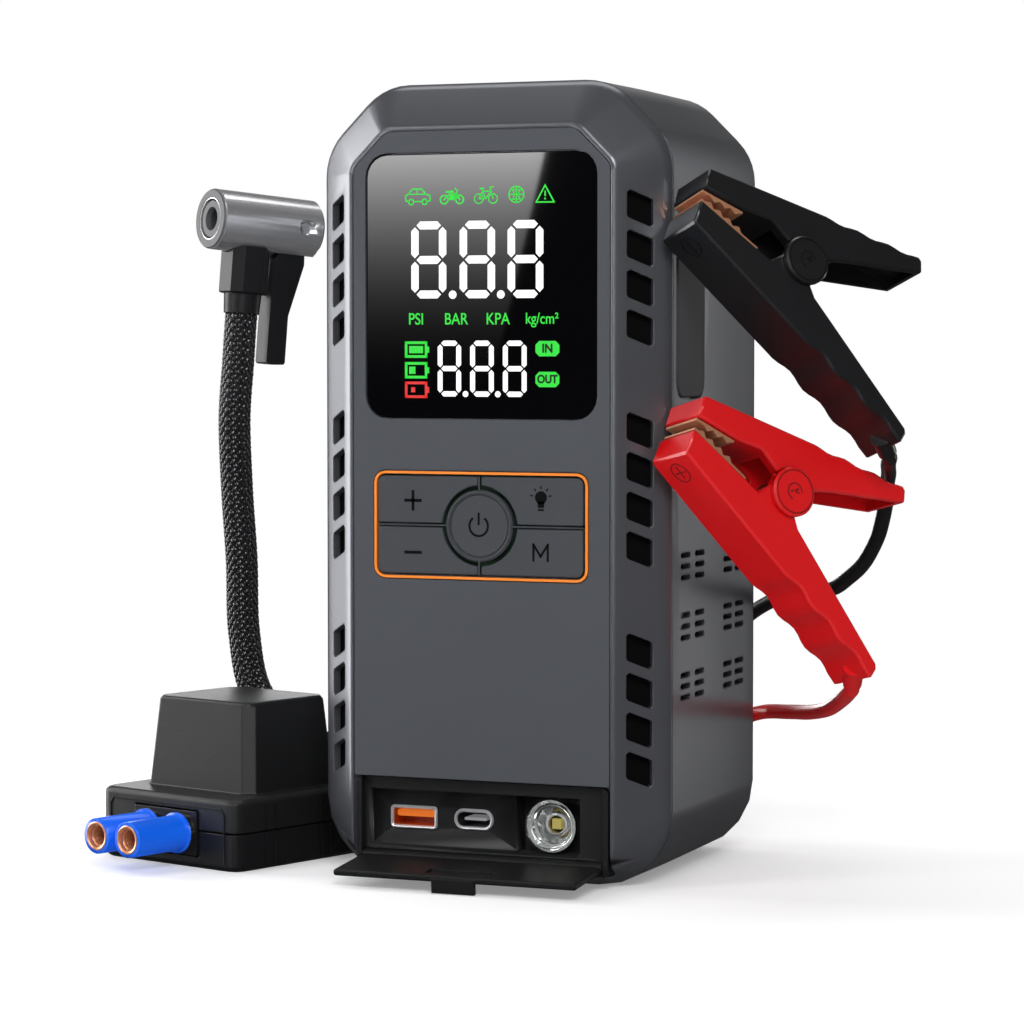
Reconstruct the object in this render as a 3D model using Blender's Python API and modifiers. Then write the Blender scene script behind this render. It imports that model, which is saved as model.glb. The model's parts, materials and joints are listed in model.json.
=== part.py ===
"""Jump starter pack: power unit with tyre pump, air hose with lever chuck, and jumper lead.

Frame: origin at the middle of the unit's base, front towards -Y, right side towards +X, +Z up.
All sizes are in metres.
"""
import math

import bmesh
import bpy
from mathutils import Matrix, Vector

PARTS = "jump_starter_pack"
CUTTERS = "cutters"

# ---- power unit: outer form ----
UNIT_HEIGHT = 0.2215
UNIT_WIDTH = 0.1036
UNIT_DEPTH = 0.092
FRONT_Y = -0.0325
TOP_CHAMFER = 0.0180
TOP_BLEND = 0.018
BOTTOM_CORNER = 0.0212
FLANK_WIDTH = 0.0131
FRONT_SILL = 0.0050
FLANK_DEPTH = 0.0100
SHELL_SEAM = 0.0125
CREASE_BACK = 0.0495
SIDE_TAPER = 0.0004
BACK_ROUND = 0.008
WALL = 0.0022
FRONT_WALL = 0.0040
SEAM_GAP = 0.0005
FIT = 0.0003

# ---- front panel, display and keys ----
PANEL_RECESS = 0.0019
PANEL_THICKNESS = 0.0016
DISPLAY_WIDTH = 0.0682
DISPLAY_HEIGHT = 0.0728
DISPLAY_DROP = 0.0199
DISPLAY_CORNER = 0.0063
LENS_THICKNESS = 0.0013
LEDGE = 0.0022
KEYPAD_WIDTH = 0.0635
KEYPAD_HEIGHT = 0.0297
KEYPAD_DROP = 0.0147
KEYPAD_CORNER = 0.0032
TRIM_WIDTH = 0.0010
POWER_KEY_RADIUS = 0.0087
POWER_RING_GAP = 0.0012
KEY_GAP = 0.0010
KEY_THICKNESS = 0.0018
KEY_PROUD = 0.0004
KEY_TRAVEL = 0.0008
KEY_STEM_RADIUS = 0.0016
BOARD_THICKNESS = 0.0016

# ---- flank windows and side vents ----
WINDOW_SIZE = 0.0077
WINDOW_PITCH = 0.01077
WINDOW_SLANT = 0.0030
WINDOW_COUNT = 4
WINDOW_TOP_DROP = 0.0517
WINDOW_LOW_Z = 0.0496
GRILLE_THICKNESS = 0.0008
SLOT_LENGTH = 0.0085
SLOT_HEIGHT = 0.0015
SLOT_PITCH = 0.0031
SLOT_ROWS = 3
SLOT_GROUPS_Z = (0.0880, 0.0714, 0.0548)
SLOT_STARTS_Y = (-0.0135, -0.0015, 0.0237, 0.0345)

# ---- port bay and its cover ----
BAY_WIDTH = 0.0758
BAY_TOP = 0.0285
BAY_CORNER = 0.0020
BAY_DEPTH = 0.0175
TRAY_HALF_WIDTH = 0.0344
TRAY_LOW = 0.0094
TRAY_HIGH = 0.0248
TRAY_DEPTH = 0.0050
USB_A_X = -0.0220
USB_A_Z = 0.0170
USB_A_WIDTH = 0.0137
USB_A_HEIGHT = 0.0059
USB_C_X = -0.0039
USB_C_Z = 0.0172
USB_C_WIDTH = 0.0113
USB_C_HEIGHT = 0.0053
USB_DEPTH = 0.0085
PORT_WALL = 0.0006
LAMP_X = 0.0190
LAMP_Z = 0.0165
LAMP_RADIUS = 0.0073
LAMP_DEPTH = 0.0062
LAMP_WELL = 0.0066
LENS_DOME = 0.0016
HINGE_Y = -0.0309
HINGE_Z = 0.0060
PIN_RADIUS = 0.0009
BARREL_RADIUS = 0.0020
COVER_WIDTH = 0.0714
COVER_LENGTH = 0.0216
COVER_THICKNESS = 0.0018
TAB_WIDTH = 0.0125
TAB_REACH = 0.0030
FLOOR_GAP = 0.0002

# ---- side jump outlet and its rubber cap ----
CAP_FRONT_Y = -0.0170
CAP_WIDTH = 0.0229
CAP_LOW = 0.1345
CAP_HIGH = 0.1810
CAP_CORNER = 0.0048
CAP_THICKNESS = 0.0016
SOCKET_WIDTH = 0.0112
SOCKET_HEIGHT = 0.0215
SOCKET_DEPTH = 0.0110
SOCKET_BORE = 0.0036

# ---- parts inside the unit ----
BATTERY_WIDTH = 0.0720
BATTERY_DEPTH = 0.0300
BATTERY_LOW = 0.1040
BATTERY_TOP_GAP = 0.0155
MAIN_BOARD_SIZE = (0.0800, 0.0016, 0.1500)
MOTOR_RADIUS = 0.0150
MOTOR_LENGTH = 0.0400
PUMP_RADIUS = 0.0110
OUTLET_Y = 0.0390
OUTLET_Z = 0.0250
OUTLET_BORE = 0.0022

# ---- air hose and chuck ----
HOSE_DIAMETER = 0.0100
NUT_LENGTH = 0.0070
NUT_RADIUS = 0.0068
CHUCK_TILT = 4.9
CHUCK_HEADING = 236.0
CHUCK_RADIUS = 0.0092
CHUCK_FRONT = 0.0130
CHUCK_REAR = 0.0225
CHUCK_MOUTH_RADIUS = 0.0062
CHUCK_MOUTH_DEPTH = 0.0110
SLEEVE_RADIUS = 0.0064
SLEEVE_LENGTH = 0.0125
COLLAR_RADIUS = 0.0054
COLLAR_LENGTH = 0.0060
LEVER_WIDTH = 0.0068
LEVER_PIN_RADIUS = 0.0014
LEVER_PIVOT_BACK = 0.0155

# ---- plug module ----
MODULE_PLACE = (-0.0886, -0.0061, 0.0)
MODULE_HEADING = -108.0
MODULE_LENGTH = 0.0560
MODULE_WIDTH = 0.0560
MODULE_HEIGHT = 0.0205
MODULE_CORNER = 0.0042
MODULE_SPLIT = 0.0108
HOUSING_LENGTH = 0.0385
HOUSING_WIDTH = 0.0435
HOUSING_SETBACK = 0.0115
HOUSING_HEIGHT = 0.0260
HOUSING_DRAFT = 0.0022
PLUG_RADIUS = 0.0051
PLUG_SPACING = 0.0125
PLUG_LENGTH = 0.0215
PLUG_Z = 0.0100
CONTACT_RADIUS = 0.0034
CABLE_DIAMETER = 0.0043
CABLE_SPACING = 0.0090
CABLE_EXIT_Z = 0.0080
GROMMET_LENGTH = 0.0050

# ---- clamps ----
CLAMPS = {
    "black": ((0.0803, -0.0078, 0.1689), (63.8, 45.2, 33.7)),
    "red": ((0.0770, -0.0098, 0.1074), (71.8, 48.4, 41.3)),
}
CLAMP_WIDTH = 0.0165
CLAMP_WALL = 0.0016
CLAMP_OPEN_ANGLE = 26.8
LOWER_TIP = 0.0326
LOWER_END = 0.0518
LOWER_BACK = 0.0183
UPPER_TIP = 0.0332
UPPER_END = 0.0372
UPPER_BACK = 0.0160
SCALLOP_START = 0.0135
SCALLOP_PITCH = 0.0122
SCALLOP_DEPTH = 0.0013
SCALLOP_COUNT = 3
EAR_RADIUS = 0.0062
INNER_EAR_RADIUS = 0.0058
DISC_RADIUS = 0.00685
DISC_THICKNESS = 0.0016
PIVOT_RADIUS = 0.0020
SPRING_WIRE = 0.0011
SPRING_RADIUS = 0.0036
SPRING_TURNS = 4
SPRING_PITCH = 0.0017
SPRING_LEG = 0.0130
JAW_PLATE = 0.0007
JAW_LENGTH = 0.0205
TOOTH_HEIGHT = 0.0011
TOOTH_PITCH = 0.0034
TOOTH_COUNT = 4
BOOT_RADIUS = 0.0030
BOOT_LENGTH = 0.0045

# Routes of the air hose and of the two cables, chosen point by point from end to end.
HOSE_ROUTE = (
    (-0.0700, 0.0390, 0.0250),
    (-0.0895, 0.0390, 0.0290),
    (-0.1035, 0.0388, 0.0420),
    (-0.1078, 0.0384, 0.0610),
    (-0.1080, 0.0374, 0.0830),
    (-0.1087, 0.0359, 0.1040),
    (-0.1087, 0.0343, 0.1260),
    (-0.1078, 0.0350, 0.1430),
)
BLACK_ROUTE = (
    (-0.0752, 0.0385, 0.0068),
    (-0.0700, 0.0500, 0.0040),
    (-0.0600, 0.0620, 0.0026),
    (-0.0460, 0.0710, 0.0024),
    (-0.0300, 0.0735, 0.0024),
    (-0.0130, 0.0735, 0.0032),
    (0.0020, 0.0725, 0.0090),
    (0.0140, 0.0715, 0.0220),
    (0.0230, 0.0705, 0.0380),
    (0.0320, 0.0690, 0.0540),
    (0.0430, 0.0665, 0.0665),
    (0.0540, 0.0630, 0.0735),
    (0.0650, 0.0575, 0.0765),
    (0.0752, 0.0519, 0.0781),
    (0.0815, 0.0480, 0.0818),
    (0.0871, 0.0449, 0.0865),
    (0.0915, 0.0424, 0.0933),
    (0.0945, 0.0376, 0.0990),
    (0.0972, 0.0322, 0.1055),
    (0.0990, 0.0265, 0.1102),
    (0.1014, 0.0195, 0.1134),
    (0.1032, 0.0125, 0.1160),
)
RED_ROUTE = (
    (-0.0668, 0.0365, 0.0068),
    (-0.0615, 0.0490, 0.0040),
    (-0.0500, 0.0605, 0.0026),
    (-0.0350, 0.0650, 0.0024),
    (-0.0170, 0.0655, 0.0024),
    (0.0000, 0.0650, 0.0040),
    (0.0140, 0.0650, 0.0130),
    (0.0260, 0.0655, 0.0250),
    (0.0380, 0.0655, 0.0350),
    (0.0500, 0.0635, 0.0400),
    (0.0626, 0.0530, 0.0418),
    (0.0720, 0.0420, 0.0432),
    (0.0810, 0.0300, 0.0457),
    (0.0885, 0.0185, 0.0497),
)
CABLE_LEAVES = {"black": (0.03, 0.80, -0.60), "red": (-0.25, 0.68, -0.69)}

LEFT_SIDE = -UNIT_WIDTH / 2
RIGHT_SIDE = UNIT_WIDTH / 2
DISPLAY_Z = UNIT_HEIGHT - DISPLAY_DROP - DISPLAY_HEIGHT / 2
KEYPAD_Z = DISPLAY_Z - DISPLAY_HEIGHT / 2 - KEYPAD_DROP - KEYPAD_HEIGHT / 2
WINDOW_TOP_Z = UNIT_HEIGHT - WINDOW_TOP_DROP
WINDOW_GROUPS_Z = (WINDOW_TOP_Z, (WINDOW_TOP_Z + WINDOW_LOW_Z) / 2, WINDOW_LOW_Z)
SEAM_Y = FRONT_Y + SHELL_SEAM
BACK_Y = FRONT_Y + UNIT_DEPTH
PANEL_BACK = FRONT_Y + PANEL_THICKNESS
LEDGE_Y = FRONT_Y + PANEL_RECESS
FRONT_INNER_Y = FRONT_Y + FRONT_WALL
COVER_RECESS = HINGE_Y + COVER_THICKNESS / 2 + FIT - FRONT_Y
COVER_ARM = math.hypot(COVER_LENGTH, COVER_THICKNESS / 2 + TAB_REACH)
COVER_DROOP = math.asin((HINGE_Z - FLOOR_GAP) / COVER_ARM) - math.atan2(
    COVER_THICKNESS / 2 + TAB_REACH, COVER_LENGTH
)

# A drawing laid in the unit's front plane: its x runs along +X, its y up, its z towards the viewer.
FRONT = Matrix.Rotation(math.radians(90), 4, "X")


# ---- scene helpers ----
def clear_scene():
    for obj in list(bpy.data.objects):
        bpy.data.objects.remove(obj, do_unlink=True)
    for name in (PARTS, CUTTERS):
        group = bpy.data.collections.new(name)
        bpy.context.scene.collection.children.link(group)


def link(obj, group):
    bpy.data.collections[group].objects.link(obj)
    if group == CUTTERS:
        obj.hide_render = True
        obj.display_type = "WIRE"
    return obj


def from_bmesh(name, bm, group=PARTS, place=None):
    mesh = bpy.data.meshes.new(name)
    bm.to_mesh(mesh)
    bm.free()
    obj = link(bpy.data.objects.new(name, mesh), group)
    if place is not None:
        mesh.transform(place)
    return obj


def box(name, low, high, group=PARTS, place=None):
    low, high = Vector(low), Vector(high)
    bm = bmesh.new()
    bmesh.ops.create_cube(bm, size=1.0)
    bmesh.ops.scale(bm, vec=high - low, verts=bm.verts)
    bmesh.ops.translate(bm, vec=(low + high) / 2, verts=bm.verts)
    return from_bmesh(name, bm, group, place)


def cylinder(name, radius, start, end, sides=24, group=PARTS, end_radius=None):
    """A round bar or cone from one point to another."""
    start, end = Vector(start), Vector(end)
    bm = bmesh.new()
    bmesh.ops.create_cone(
        bm,
        cap_ends=True,
        segments=sides,
        radius1=radius,
        radius2=radius if end_radius is None else end_radius,
        depth=(end - start).length,
    )
    turn = (end - start).to_track_quat("Z", "Y").to_matrix().to_4x4()
    return from_bmesh(name, bm, group, Matrix.Translation((start + end) / 2) @ turn)


def along(point, direction):
    """A place whose z runs along a direction, for turned pieces."""
    turn = Vector(direction).to_track_quat("Z", "Y").to_matrix().to_4x4()
    return Matrix.Translation(point) @ turn


def apply_modifiers(obj):
    bpy.context.view_layer.update()
    depsgraph = bpy.context.evaluated_depsgraph_get()
    mesh = bpy.data.meshes.new_from_object(obj.evaluated_get(depsgraph))
    obj.modifiers.clear()
    return mesh


def turned(name, profile, place, steps=24, group=PARTS, ring=False):
    """A turned solid. The profile runs down its outer side, from top to bottom."""
    bm = bmesh.new()
    verts = [bm.verts.new((radius, 0.0, height)) for radius, height in profile]
    for first, second in zip(verts, verts[1:]):
        bm.edges.new((first, second))
    if ring:
        bm.edges.new((verts[-1], verts[0]))
    obj = from_bmesh(name, bm, group)
    screw = obj.modifiers.new("turn", "SCREW")
    screw.axis = "Z"
    screw.steps = steps
    screw.render_steps = steps
    screw.use_merge_vertices = True
    screw.merge_threshold = 0.00001
    mesh = apply_modifiers(obj)
    mesh.transform(place)
    obj.data = mesh
    return obj


def weld(mesh):
    bm = bmesh.new()
    bm.from_mesh(mesh)
    bmesh.ops.remove_doubles(bm, verts=bm.verts, dist=0.000001)
    bmesh.ops.dissolve_limit(bm, angle_limit=math.radians(0.4), verts=bm.verts, edges=bm.edges)
    bmesh.ops.recalc_face_normals(bm, faces=bm.faces)
    bm.to_mesh(mesh)
    bm.free()


def prism(name, outlines, low, high, place=None, group=PARTS):
    """A flat outline, with any holes after it, given thickness from low to high along its z."""
    curve = bpy.data.curves.new(name + "_outline", "CURVE")
    curve.dimensions = "2D"
    curve.fill_mode = "BOTH"
    curve.extrude = (high - low) / 2
    for outline in outlines:
        spline = curve.splines.new("POLY")
        spline.points.add(len(outline) - 1)
        for point, (x, y) in zip(spline.points, outline):
            point.co = (x, y, 0.0, 1.0)
        spline.use_cyclic_u = True
    drawing = link(bpy.data.objects.new(curve.name, curve), group)
    mesh = apply_modifiers(drawing) if drawing.modifiers else solid_of(drawing)
    bpy.data.objects.remove(drawing, do_unlink=True)
    mesh.transform(Matrix.Translation((0.0, 0.0, (low + high) / 2)))
    weld(mesh)
    if place is not None:
        mesh.transform(place)
    mesh.name = name
    return link(bpy.data.objects.new(name, mesh), group)


def solid_of(curve_object):
    bpy.context.view_layer.update()
    depsgraph = bpy.context.evaluated_depsgraph_get()
    return bpy.data.meshes.new_from_object(curve_object.evaluated_get(depsgraph))


def plate(name, outlines, front, back, group=PARTS):
    """A plate drawn in the front plane, between two depths along Y."""
    return prism(name, outlines, -back, -front, FRONT, group)


def bevel(obj, width, segments=1, angle=50.0):
    modifier = obj.modifiers.new("edges", "BEVEL")
    modifier.width = width
    modifier.segments = segments
    modifier.limit_method = "ANGLE"
    modifier.angle_limit = math.radians(angle)
    modifier.use_clamp_overlap = True
    return obj


def boolean(obj, tool, operation):
    modifier = obj.modifiers.new(tool.name, "BOOLEAN")
    modifier.operation = operation
    modifier.object = tool
    modifier.solver = "EXACT"
    return obj


def cut(obj, *tools):
    for tool in tools:
        boolean(obj, tool, "DIFFERENCE")
    return obj


def join(obj, *tools):
    for tool in tools:
        boolean(obj, tool, "UNION")
    return obj


def put_origin(obj, point):
    """Moves an object's origin to a point on its joint axis, with the piece left in place."""
    obj.data.transform(Matrix.Translation(-Vector(point)))
    obj.location = point


def shaded(obj, material, sharp=35.0):
    obj.data.materials.clear()
    obj.data.materials.append(material)
    obj.data.shade_smooth()
    obj.data.set_sharp_from_angle(angle=math.radians(sharp))
    return obj


def finish(name, red, green, blue, roughness, metallic=0.0):
    material = bpy.data.materials.new(name)
    material.use_nodes = True
    shader = material.node_tree.nodes["Principled BSDF"]
    shader.inputs["Base Color"].default_value = (red, green, blue, 1.0)
    shader.inputs["Roughness"].default_value = roughness
    shader.inputs["Metallic"].default_value = metallic
    return material


# ---- outlines ----
def rounded(corners, radii, steps=4):
    """A closed outline with an arc of the given radius at each corner."""
    points = []
    count = len(corners)
    for index in range(count):
        corner = Vector(corners[index])
        before = (Vector(corners[index - 1]) - corner).normalized()
        after = (Vector(corners[(index + 1) % count]) - corner).normalized()
        radius = radii[index] if isinstance(radii, (list, tuple)) else radii
        if radius <= 0.0:
            points.append(corner)
            continue
        half = before.angle(after) / 2
        centre = corner + (before + after).normalized() * radius / math.sin(half)
        start = corner + before * radius / math.tan(half) - centre
        end = corner + after * radius / math.tan(half) - centre
        sweep = start.angle_signed(end)
        for step in range(steps + 1):
            spin = Matrix.Rotation(-sweep * step / steps, 2)
            points.append(centre + spin @ start)
    return [(point.x, point.y) for point in points]


def rectangle(left, right, low, high, radius=0.0, steps=4):
    corners = [(left, low), (right, low), (right, high), (left, high)]
    return rounded(corners, radius, steps)


def circle(x, y, radius, sides=32):
    turns = [math.tau * index / sides for index in range(sides)]
    return [(x + radius * math.cos(turn), y + radius * math.sin(turn)) for turn in turns]


def arc(x, y, radius, start, end, steps):
    """Points from one angle to another, in degrees, both ends included."""
    turns = [math.radians(start + (end - start) * step / steps) for step in range(steps + 1)]
    return [(x + radius * math.cos(turn), y + radius * math.sin(turn)) for turn in turns]


def unit_outline(inset, sill=None, low_cut=None):
    """The unit's outline seen from the front, drawn in by an inset all round."""
    half = UNIT_WIDTH / 2 - inset
    top = UNIT_HEIGHT - inset
    low = inset if sill is None else sill
    chamfer = TOP_CHAMFER - inset * (2 - math.sqrt(2))
    blend = max(TOP_BLEND - inset, 0.0015)
    foot = max(BOTTOM_CORNER - inset, 0.0020)
    if low_cut is not None:
        low, foot = low_cut, 0.0004
    corners = [
        (-half, low),
        (half, low),
        (half, top - chamfer),
        (half - chamfer, top),
        (-half + chamfer, top),
        (-half, top - chamfer),
    ]
    return rounded(corners, [foot, foot, blend, blend, blend, blend], steps=5)


def loft(name, stations, group=PARTS):
    """A solid through like outlines, each at its own depth along Y, from front to back."""
    bm = bmesh.new()
    rings = []
    for depth, outline in stations:
        rings.append([bm.verts.new((x, depth, z)) for x, z in outline])
    for near, far in zip(rings, rings[1:]):
        count = len(near)
        for index in range(count):
            following = (index + 1) % count
            bm.faces.new((near[index], near[following], far[following], far[index]))
    bm.faces.new(list(reversed(rings[0])))
    bm.faces.new(rings[-1])
    bmesh.ops.recalc_face_normals(bm, faces=bm.faces)
    return from_bmesh(name, bm, group)


# ---- power unit: shells ----
def flank_face():
    """Inset and depth at the inner and at the outer edge of a flank's flat face."""
    return (FLANK_WIDTH - 0.0012, FRONT_Y + 0.0006), (0.0018, FRONT_Y + FLANK_DEPTH - 0.0008)


def inner_flank(depth):
    """The inset of a flank's inside face at a depth, one wall behind its outside face."""
    (inset_0, depth_0), (inset_1, depth_1) = flank_face()
    slope = (inset_1 - inset_0) / (depth_1 - depth_0)
    return inset_0 + slope * (depth - depth_0) + WALL * math.sqrt(1 + slope * slope)


def front_rows():
    """Depth, inset and sill of the front shell's outer form."""
    (inset_0, depth_0), (inset_1, depth_1) = flank_face()
    return [
        (FRONT_Y, FLANK_WIDTH, FRONT_SILL),
        (depth_0, inset_0, FRONT_SILL - 0.0010),
        (depth_1, inset_1, 0.0012),
        (FRONT_Y + FLANK_DEPTH + 0.0006, 0.0006, 0.0004),
        (SEAM_Y - SEAM_GAP / 2, 0.0, 0.0),
    ]


def front_hollow_rows():
    """Depth, inset and sill of the front shell's hollow, which runs out past the seam."""
    turn_y = FRONT_Y + FLANK_DEPTH + WALL * 0.7
    return [
        (FRONT_INNER_Y, inner_flank(FRONT_INNER_Y), FRONT_SILL + WALL),
        (turn_y, max(inner_flank(turn_y), WALL), WALL),
        (SEAM_Y + WALL, WALL, WALL),
    ]


def unit_stations(rows):
    return [(depth, unit_outline(inset, sill)) for depth, inset, sill in rows]


def window_outline(side, centre_z):
    """A slanted window on a flank, drawn in the flank's own plane. The outer edge is lower."""
    half = WINDOW_SIZE / 2
    slant = WINDOW_SLANT / 2
    corners = [
        (-half, centre_z - half + slant),
        (half, centre_z - half - slant),
        (half, centre_z + half - slant),
        (-half, centre_z + half + slant),
    ]
    corners = [(x * side, z) for x, z in corners]
    if side < 0:
        corners.reverse()
    return rounded(corners, 0.0007, steps=1)


def flank_place(side, depth):
    """The plane of a flank, moved inwards by a depth: x runs outwards, y up, z out of the face."""
    (inset_0, depth_0), (inset_1, depth_1) = flank_face()
    middle_x = side * (RIGHT_SIDE - (inset_0 + inset_1) / 2)
    middle = Vector((middle_x, (depth_0 + depth_1) / 2, 0.0))
    across = Vector((inset_0 - inset_1, side * (depth_1 - depth_0), 0.0)).normalized()
    outwards = across.cross(Vector((0.0, 0.0, 1.0)))
    turn = Matrix((across, Vector((0.0, 0.0, 1.0)), outwards)).transposed().to_4x4()
    return Matrix.Translation(middle - outwards * depth) @ turn


def window_heights():
    for group_z in WINDOW_GROUPS_Z:
        for index in range(WINDOW_COUNT):
            yield group_z + (index - (WINDOW_COUNT - 1) / 2) * WINDOW_PITCH


def window_cutter(side):
    outlines = [window_outline(side, height) for height in window_heights()]
    name = "window_cutter_right" if side > 0 else "window_cutter_left"
    return prism(name, outlines, -WALL * 2.2, WALL, flank_place(side, 0.0), CUTTERS)


def make_front_shell(material):
    shell = loft("front_shell", unit_stations(front_rows()))
    hollow = loft("front_hollow", unit_stations(front_hollow_rows()), CUTTERS)
    seat_outline = unit_outline(FLANK_WIDTH + 0.0004, low_cut=0.0)
    seat = plate("panel_seat", [seat_outline], FRONT_Y - WALL, LEDGE_Y, CUTTERS)
    display_hole = plate(
        "display_hole",
        [display_outline(-LEDGE)],
        FRONT_Y - WALL,
        FRONT_INNER_Y + WALL,
        CUTTERS,
    )
    keypad_hole = plate(
        "keypad_hole",
        [keypad_outline(-TRIM_WIDTH)],
        FRONT_Y - WALL,
        FRONT_INNER_Y + WALL,
        CUTTERS,
    )
    half = BAY_WIDTH / 2
    bay = plate(
        "bay_cutter",
        [rectangle(-half, half, bay_low(), BAY_TOP, BAY_CORNER, 3)],
        FRONT_Y - 2 * WALL,
        SEAM_Y + 2 * WALL,
        CUTTERS,
    )
    cut(shell, hollow, seat, display_hole, keypad_hole, bay)
    cut(shell, window_cutter(1), window_cutter(-1))
    return shaded(shell, material)


def bay_low():
    return HINGE_Z - BARREL_RADIUS - 2 * FIT


def back_rows(offset):
    crease = FRONT_Y + CREASE_BACK
    round_start = BACK_Y - BACK_ROUND
    rows = [
        (SEAM_Y + SEAM_GAP / 2, offset, offset),
        (crease, offset, offset),
        (round_start, offset + SIDE_TAPER, offset + SIDE_TAPER),
    ]
    radius = BACK_ROUND - offset
    for step in range(1, 5):
        turn = math.radians(90 * step / 4)
        inset = offset + SIDE_TAPER + radius * (1 - math.cos(turn))
        rows.append((round_start + radius * math.sin(turn), inset, inset))
    if offset:
        rows[0] = (SEAM_Y - FIT, offset, offset)
    return rows


def slot_outline(start_y, centre_z):
    """A vent slot with pointed ends, drawn looking along X at the side."""
    half = SLOT_HEIGHT / 2
    end_y = start_y + SLOT_LENGTH
    return [
        (start_y, centre_z),
        (start_y + half, centre_z - half),
        (end_y - half, centre_z - half),
        (end_y, centre_z),
        (end_y - half, centre_z + half),
        (start_y + half, centre_z + half),
    ]


def slot_outlines():
    outlines = []
    for group_z in SLOT_GROUPS_Z:
        for row in range(SLOT_ROWS):
            height = group_z + (row - (SLOT_ROWS - 1) / 2) * SLOT_PITCH
            outlines += [slot_outline(start_y, height) for start_y in SLOT_STARTS_Y]
    return outlines


def side_place(x):
    """Drawings on the unit's right side: x runs along +Y, y up, z towards +X."""
    turn = Matrix(((0, 0, 1), (1, 0, 0), (0, 1, 0))).to_4x4()
    return Matrix.Translation((x, 0.0, 0.0)) @ turn


def slot_cutter(side):
    reach = WALL + 0.0016
    low, high = (-reach, reach) if side > 0 else (-reach, reach)
    name = "slot_cutter_right" if side > 0 else "slot_cutter_left"
    return prism(name, slot_outlines(), low, high, side_place(side * (RIGHT_SIDE - 0.0006)), CUTTERS)


def cap_outline(margin):
    back_y = CAP_FRONT_Y + CAP_WIDTH
    return rectangle(
        CAP_FRONT_Y - margin,
        back_y + margin,
        CAP_LOW - margin,
        CAP_HIGH + margin,
        CAP_CORNER + margin,
        4,
    )


def socket_middle():
    return CAP_FRONT_Y + CAP_WIDTH / 2, (CAP_LOW + CAP_HIGH) / 2


def make_back_shell(material):
    shell = loft("back_shell", unit_stations(back_rows(0.0)))
    hollow = loft("back_hollow", unit_stations(back_rows(WALL)), CUTTERS)
    seat_depth = CAP_THICKNESS + FIT
    middle_y, middle_z = socket_middle()
    boss = prism(
        "cap_boss",
        [cap_outline(WALL)],
        -seat_depth - WALL,
        -WALL / 2,
        side_place(RIGHT_SIDE),
        CUTTERS,
    )
    seat = prism(
        "cap_seat", [cap_outline(2 * FIT)], -seat_depth, WALL, side_place(RIGHT_SIDE), CUTTERS
    )
    half_width = SOCKET_WIDTH / 2 + FIT
    half_height = SOCKET_HEIGHT / 2 + FIT
    opening = prism(
        "socket_opening",
        [
            rectangle(
                middle_y - half_width,
                middle_y + half_width,
                middle_z - half_height,
                middle_z + half_height,
                0.0008,
                1,
            )
        ],
        -seat_depth - 3 * WALL,
        WALL,
        side_place(RIGHT_SIDE),
        CUTTERS,
    )
    outlet_hole = cylinder(
        "outlet_hole",
        OUTLET_BORE + 0.0024 + FIT,
        (LEFT_SIDE - WALL, OUTLET_Y, OUTLET_Z),
        (LEFT_SIDE + 3 * WALL, OUTLET_Y, OUTLET_Z),
        20,
        CUTTERS,
    )
    cut(shell, hollow)
    join(shell, boss)
    cut(shell, seat, opening, slot_cutter(1), slot_cutter(-1), outlet_hole)
    return shaded(shell, material)


def make_grille(side, material):
    """A dark backing strip behind the windows of one flank."""
    name = "grille_right" if side > 0 else "grille_left"
    half = WINDOW_SIZE / 2 + 0.0002
    shift = side * 0.0006
    low = min(window_heights()) - WINDOW_SIZE
    high = max(window_heights()) + WINDOW_SIZE
    depth = WALL + FIT
    strip = prism(
        name,
        [rectangle(shift - half, shift + half, low, high, 0.0010, 2)],
        -depth - GRILLE_THICKNESS,
        -depth,
        flank_place(side, 0.0),
    )
    return shaded(strip, material)


# ---- front panel, display and keys ----
def display_outline(margin):
    return rectangle(
        -DISPLAY_WIDTH / 2 - margin,
        DISPLAY_WIDTH / 2 + margin,
        DISPLAY_Z - DISPLAY_HEIGHT / 2 - margin,
        DISPLAY_Z + DISPLAY_HEIGHT / 2 + margin,
        DISPLAY_CORNER + margin,
        5,
    )


def keypad_outline(margin):
    return rectangle(
        -KEYPAD_WIDTH / 2 - margin,
        KEYPAD_WIDTH / 2 + margin,
        KEYPAD_Z - KEYPAD_HEIGHT / 2 - margin,
        KEYPAD_Z + KEYPAD_HEIGHT / 2 + margin,
        KEYPAD_CORNER + margin,
        4,
    )


def make_front_panel(material):
    outline = unit_outline(FLANK_WIDTH + 0.0004 + FIT, low_cut=BAY_TOP + FIT)
    holes = [display_outline(FIT), keypad_outline(FIT)]
    return shaded(plate("front_panel", [outline] + holes, FRONT_Y, PANEL_BACK), material)


def make_display_lens(material):
    front = LEDGE_Y - FIT - LENS_THICKNESS
    lens = plate("display_lens", [display_outline(0.0)], front, LEDGE_Y - FIT)
    return shaded(bevel(lens, 0.0003), material)


def make_key_trim(material):
    outlines = [keypad_outline(0.0), keypad_outline(-TRIM_WIDTH + FIT)]
    return shaded(plate("key_trim", outlines, FRONT_Y - 0.0002, LEDGE_Y - FIT), material)


def board_front():
    return FRONT_INNER_Y + FIT


def make_display_board(material):
    low = KEYPAD_Z - KEYPAD_HEIGHT / 2 - LEDGE
    high = DISPLAY_Z + DISPLAY_HEIGHT / 2
    half = DISPLAY_WIDTH / 2
    board = plate(
        "display_board",
        [rectangle(-half, half, low, high, 0.0010, 1)],
        board_front(),
        board_front() + BOARD_THICKNESS,
    )
    screen = plate(
        "display_screen",
        [display_outline(-LEDGE - 2 * FIT)],
        LEDGE_Y + FIT,
        board_front() + BOARD_THICKNESS / 2,
        CUTTERS,
    )
    return shaded(join(board, screen), material)


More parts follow.
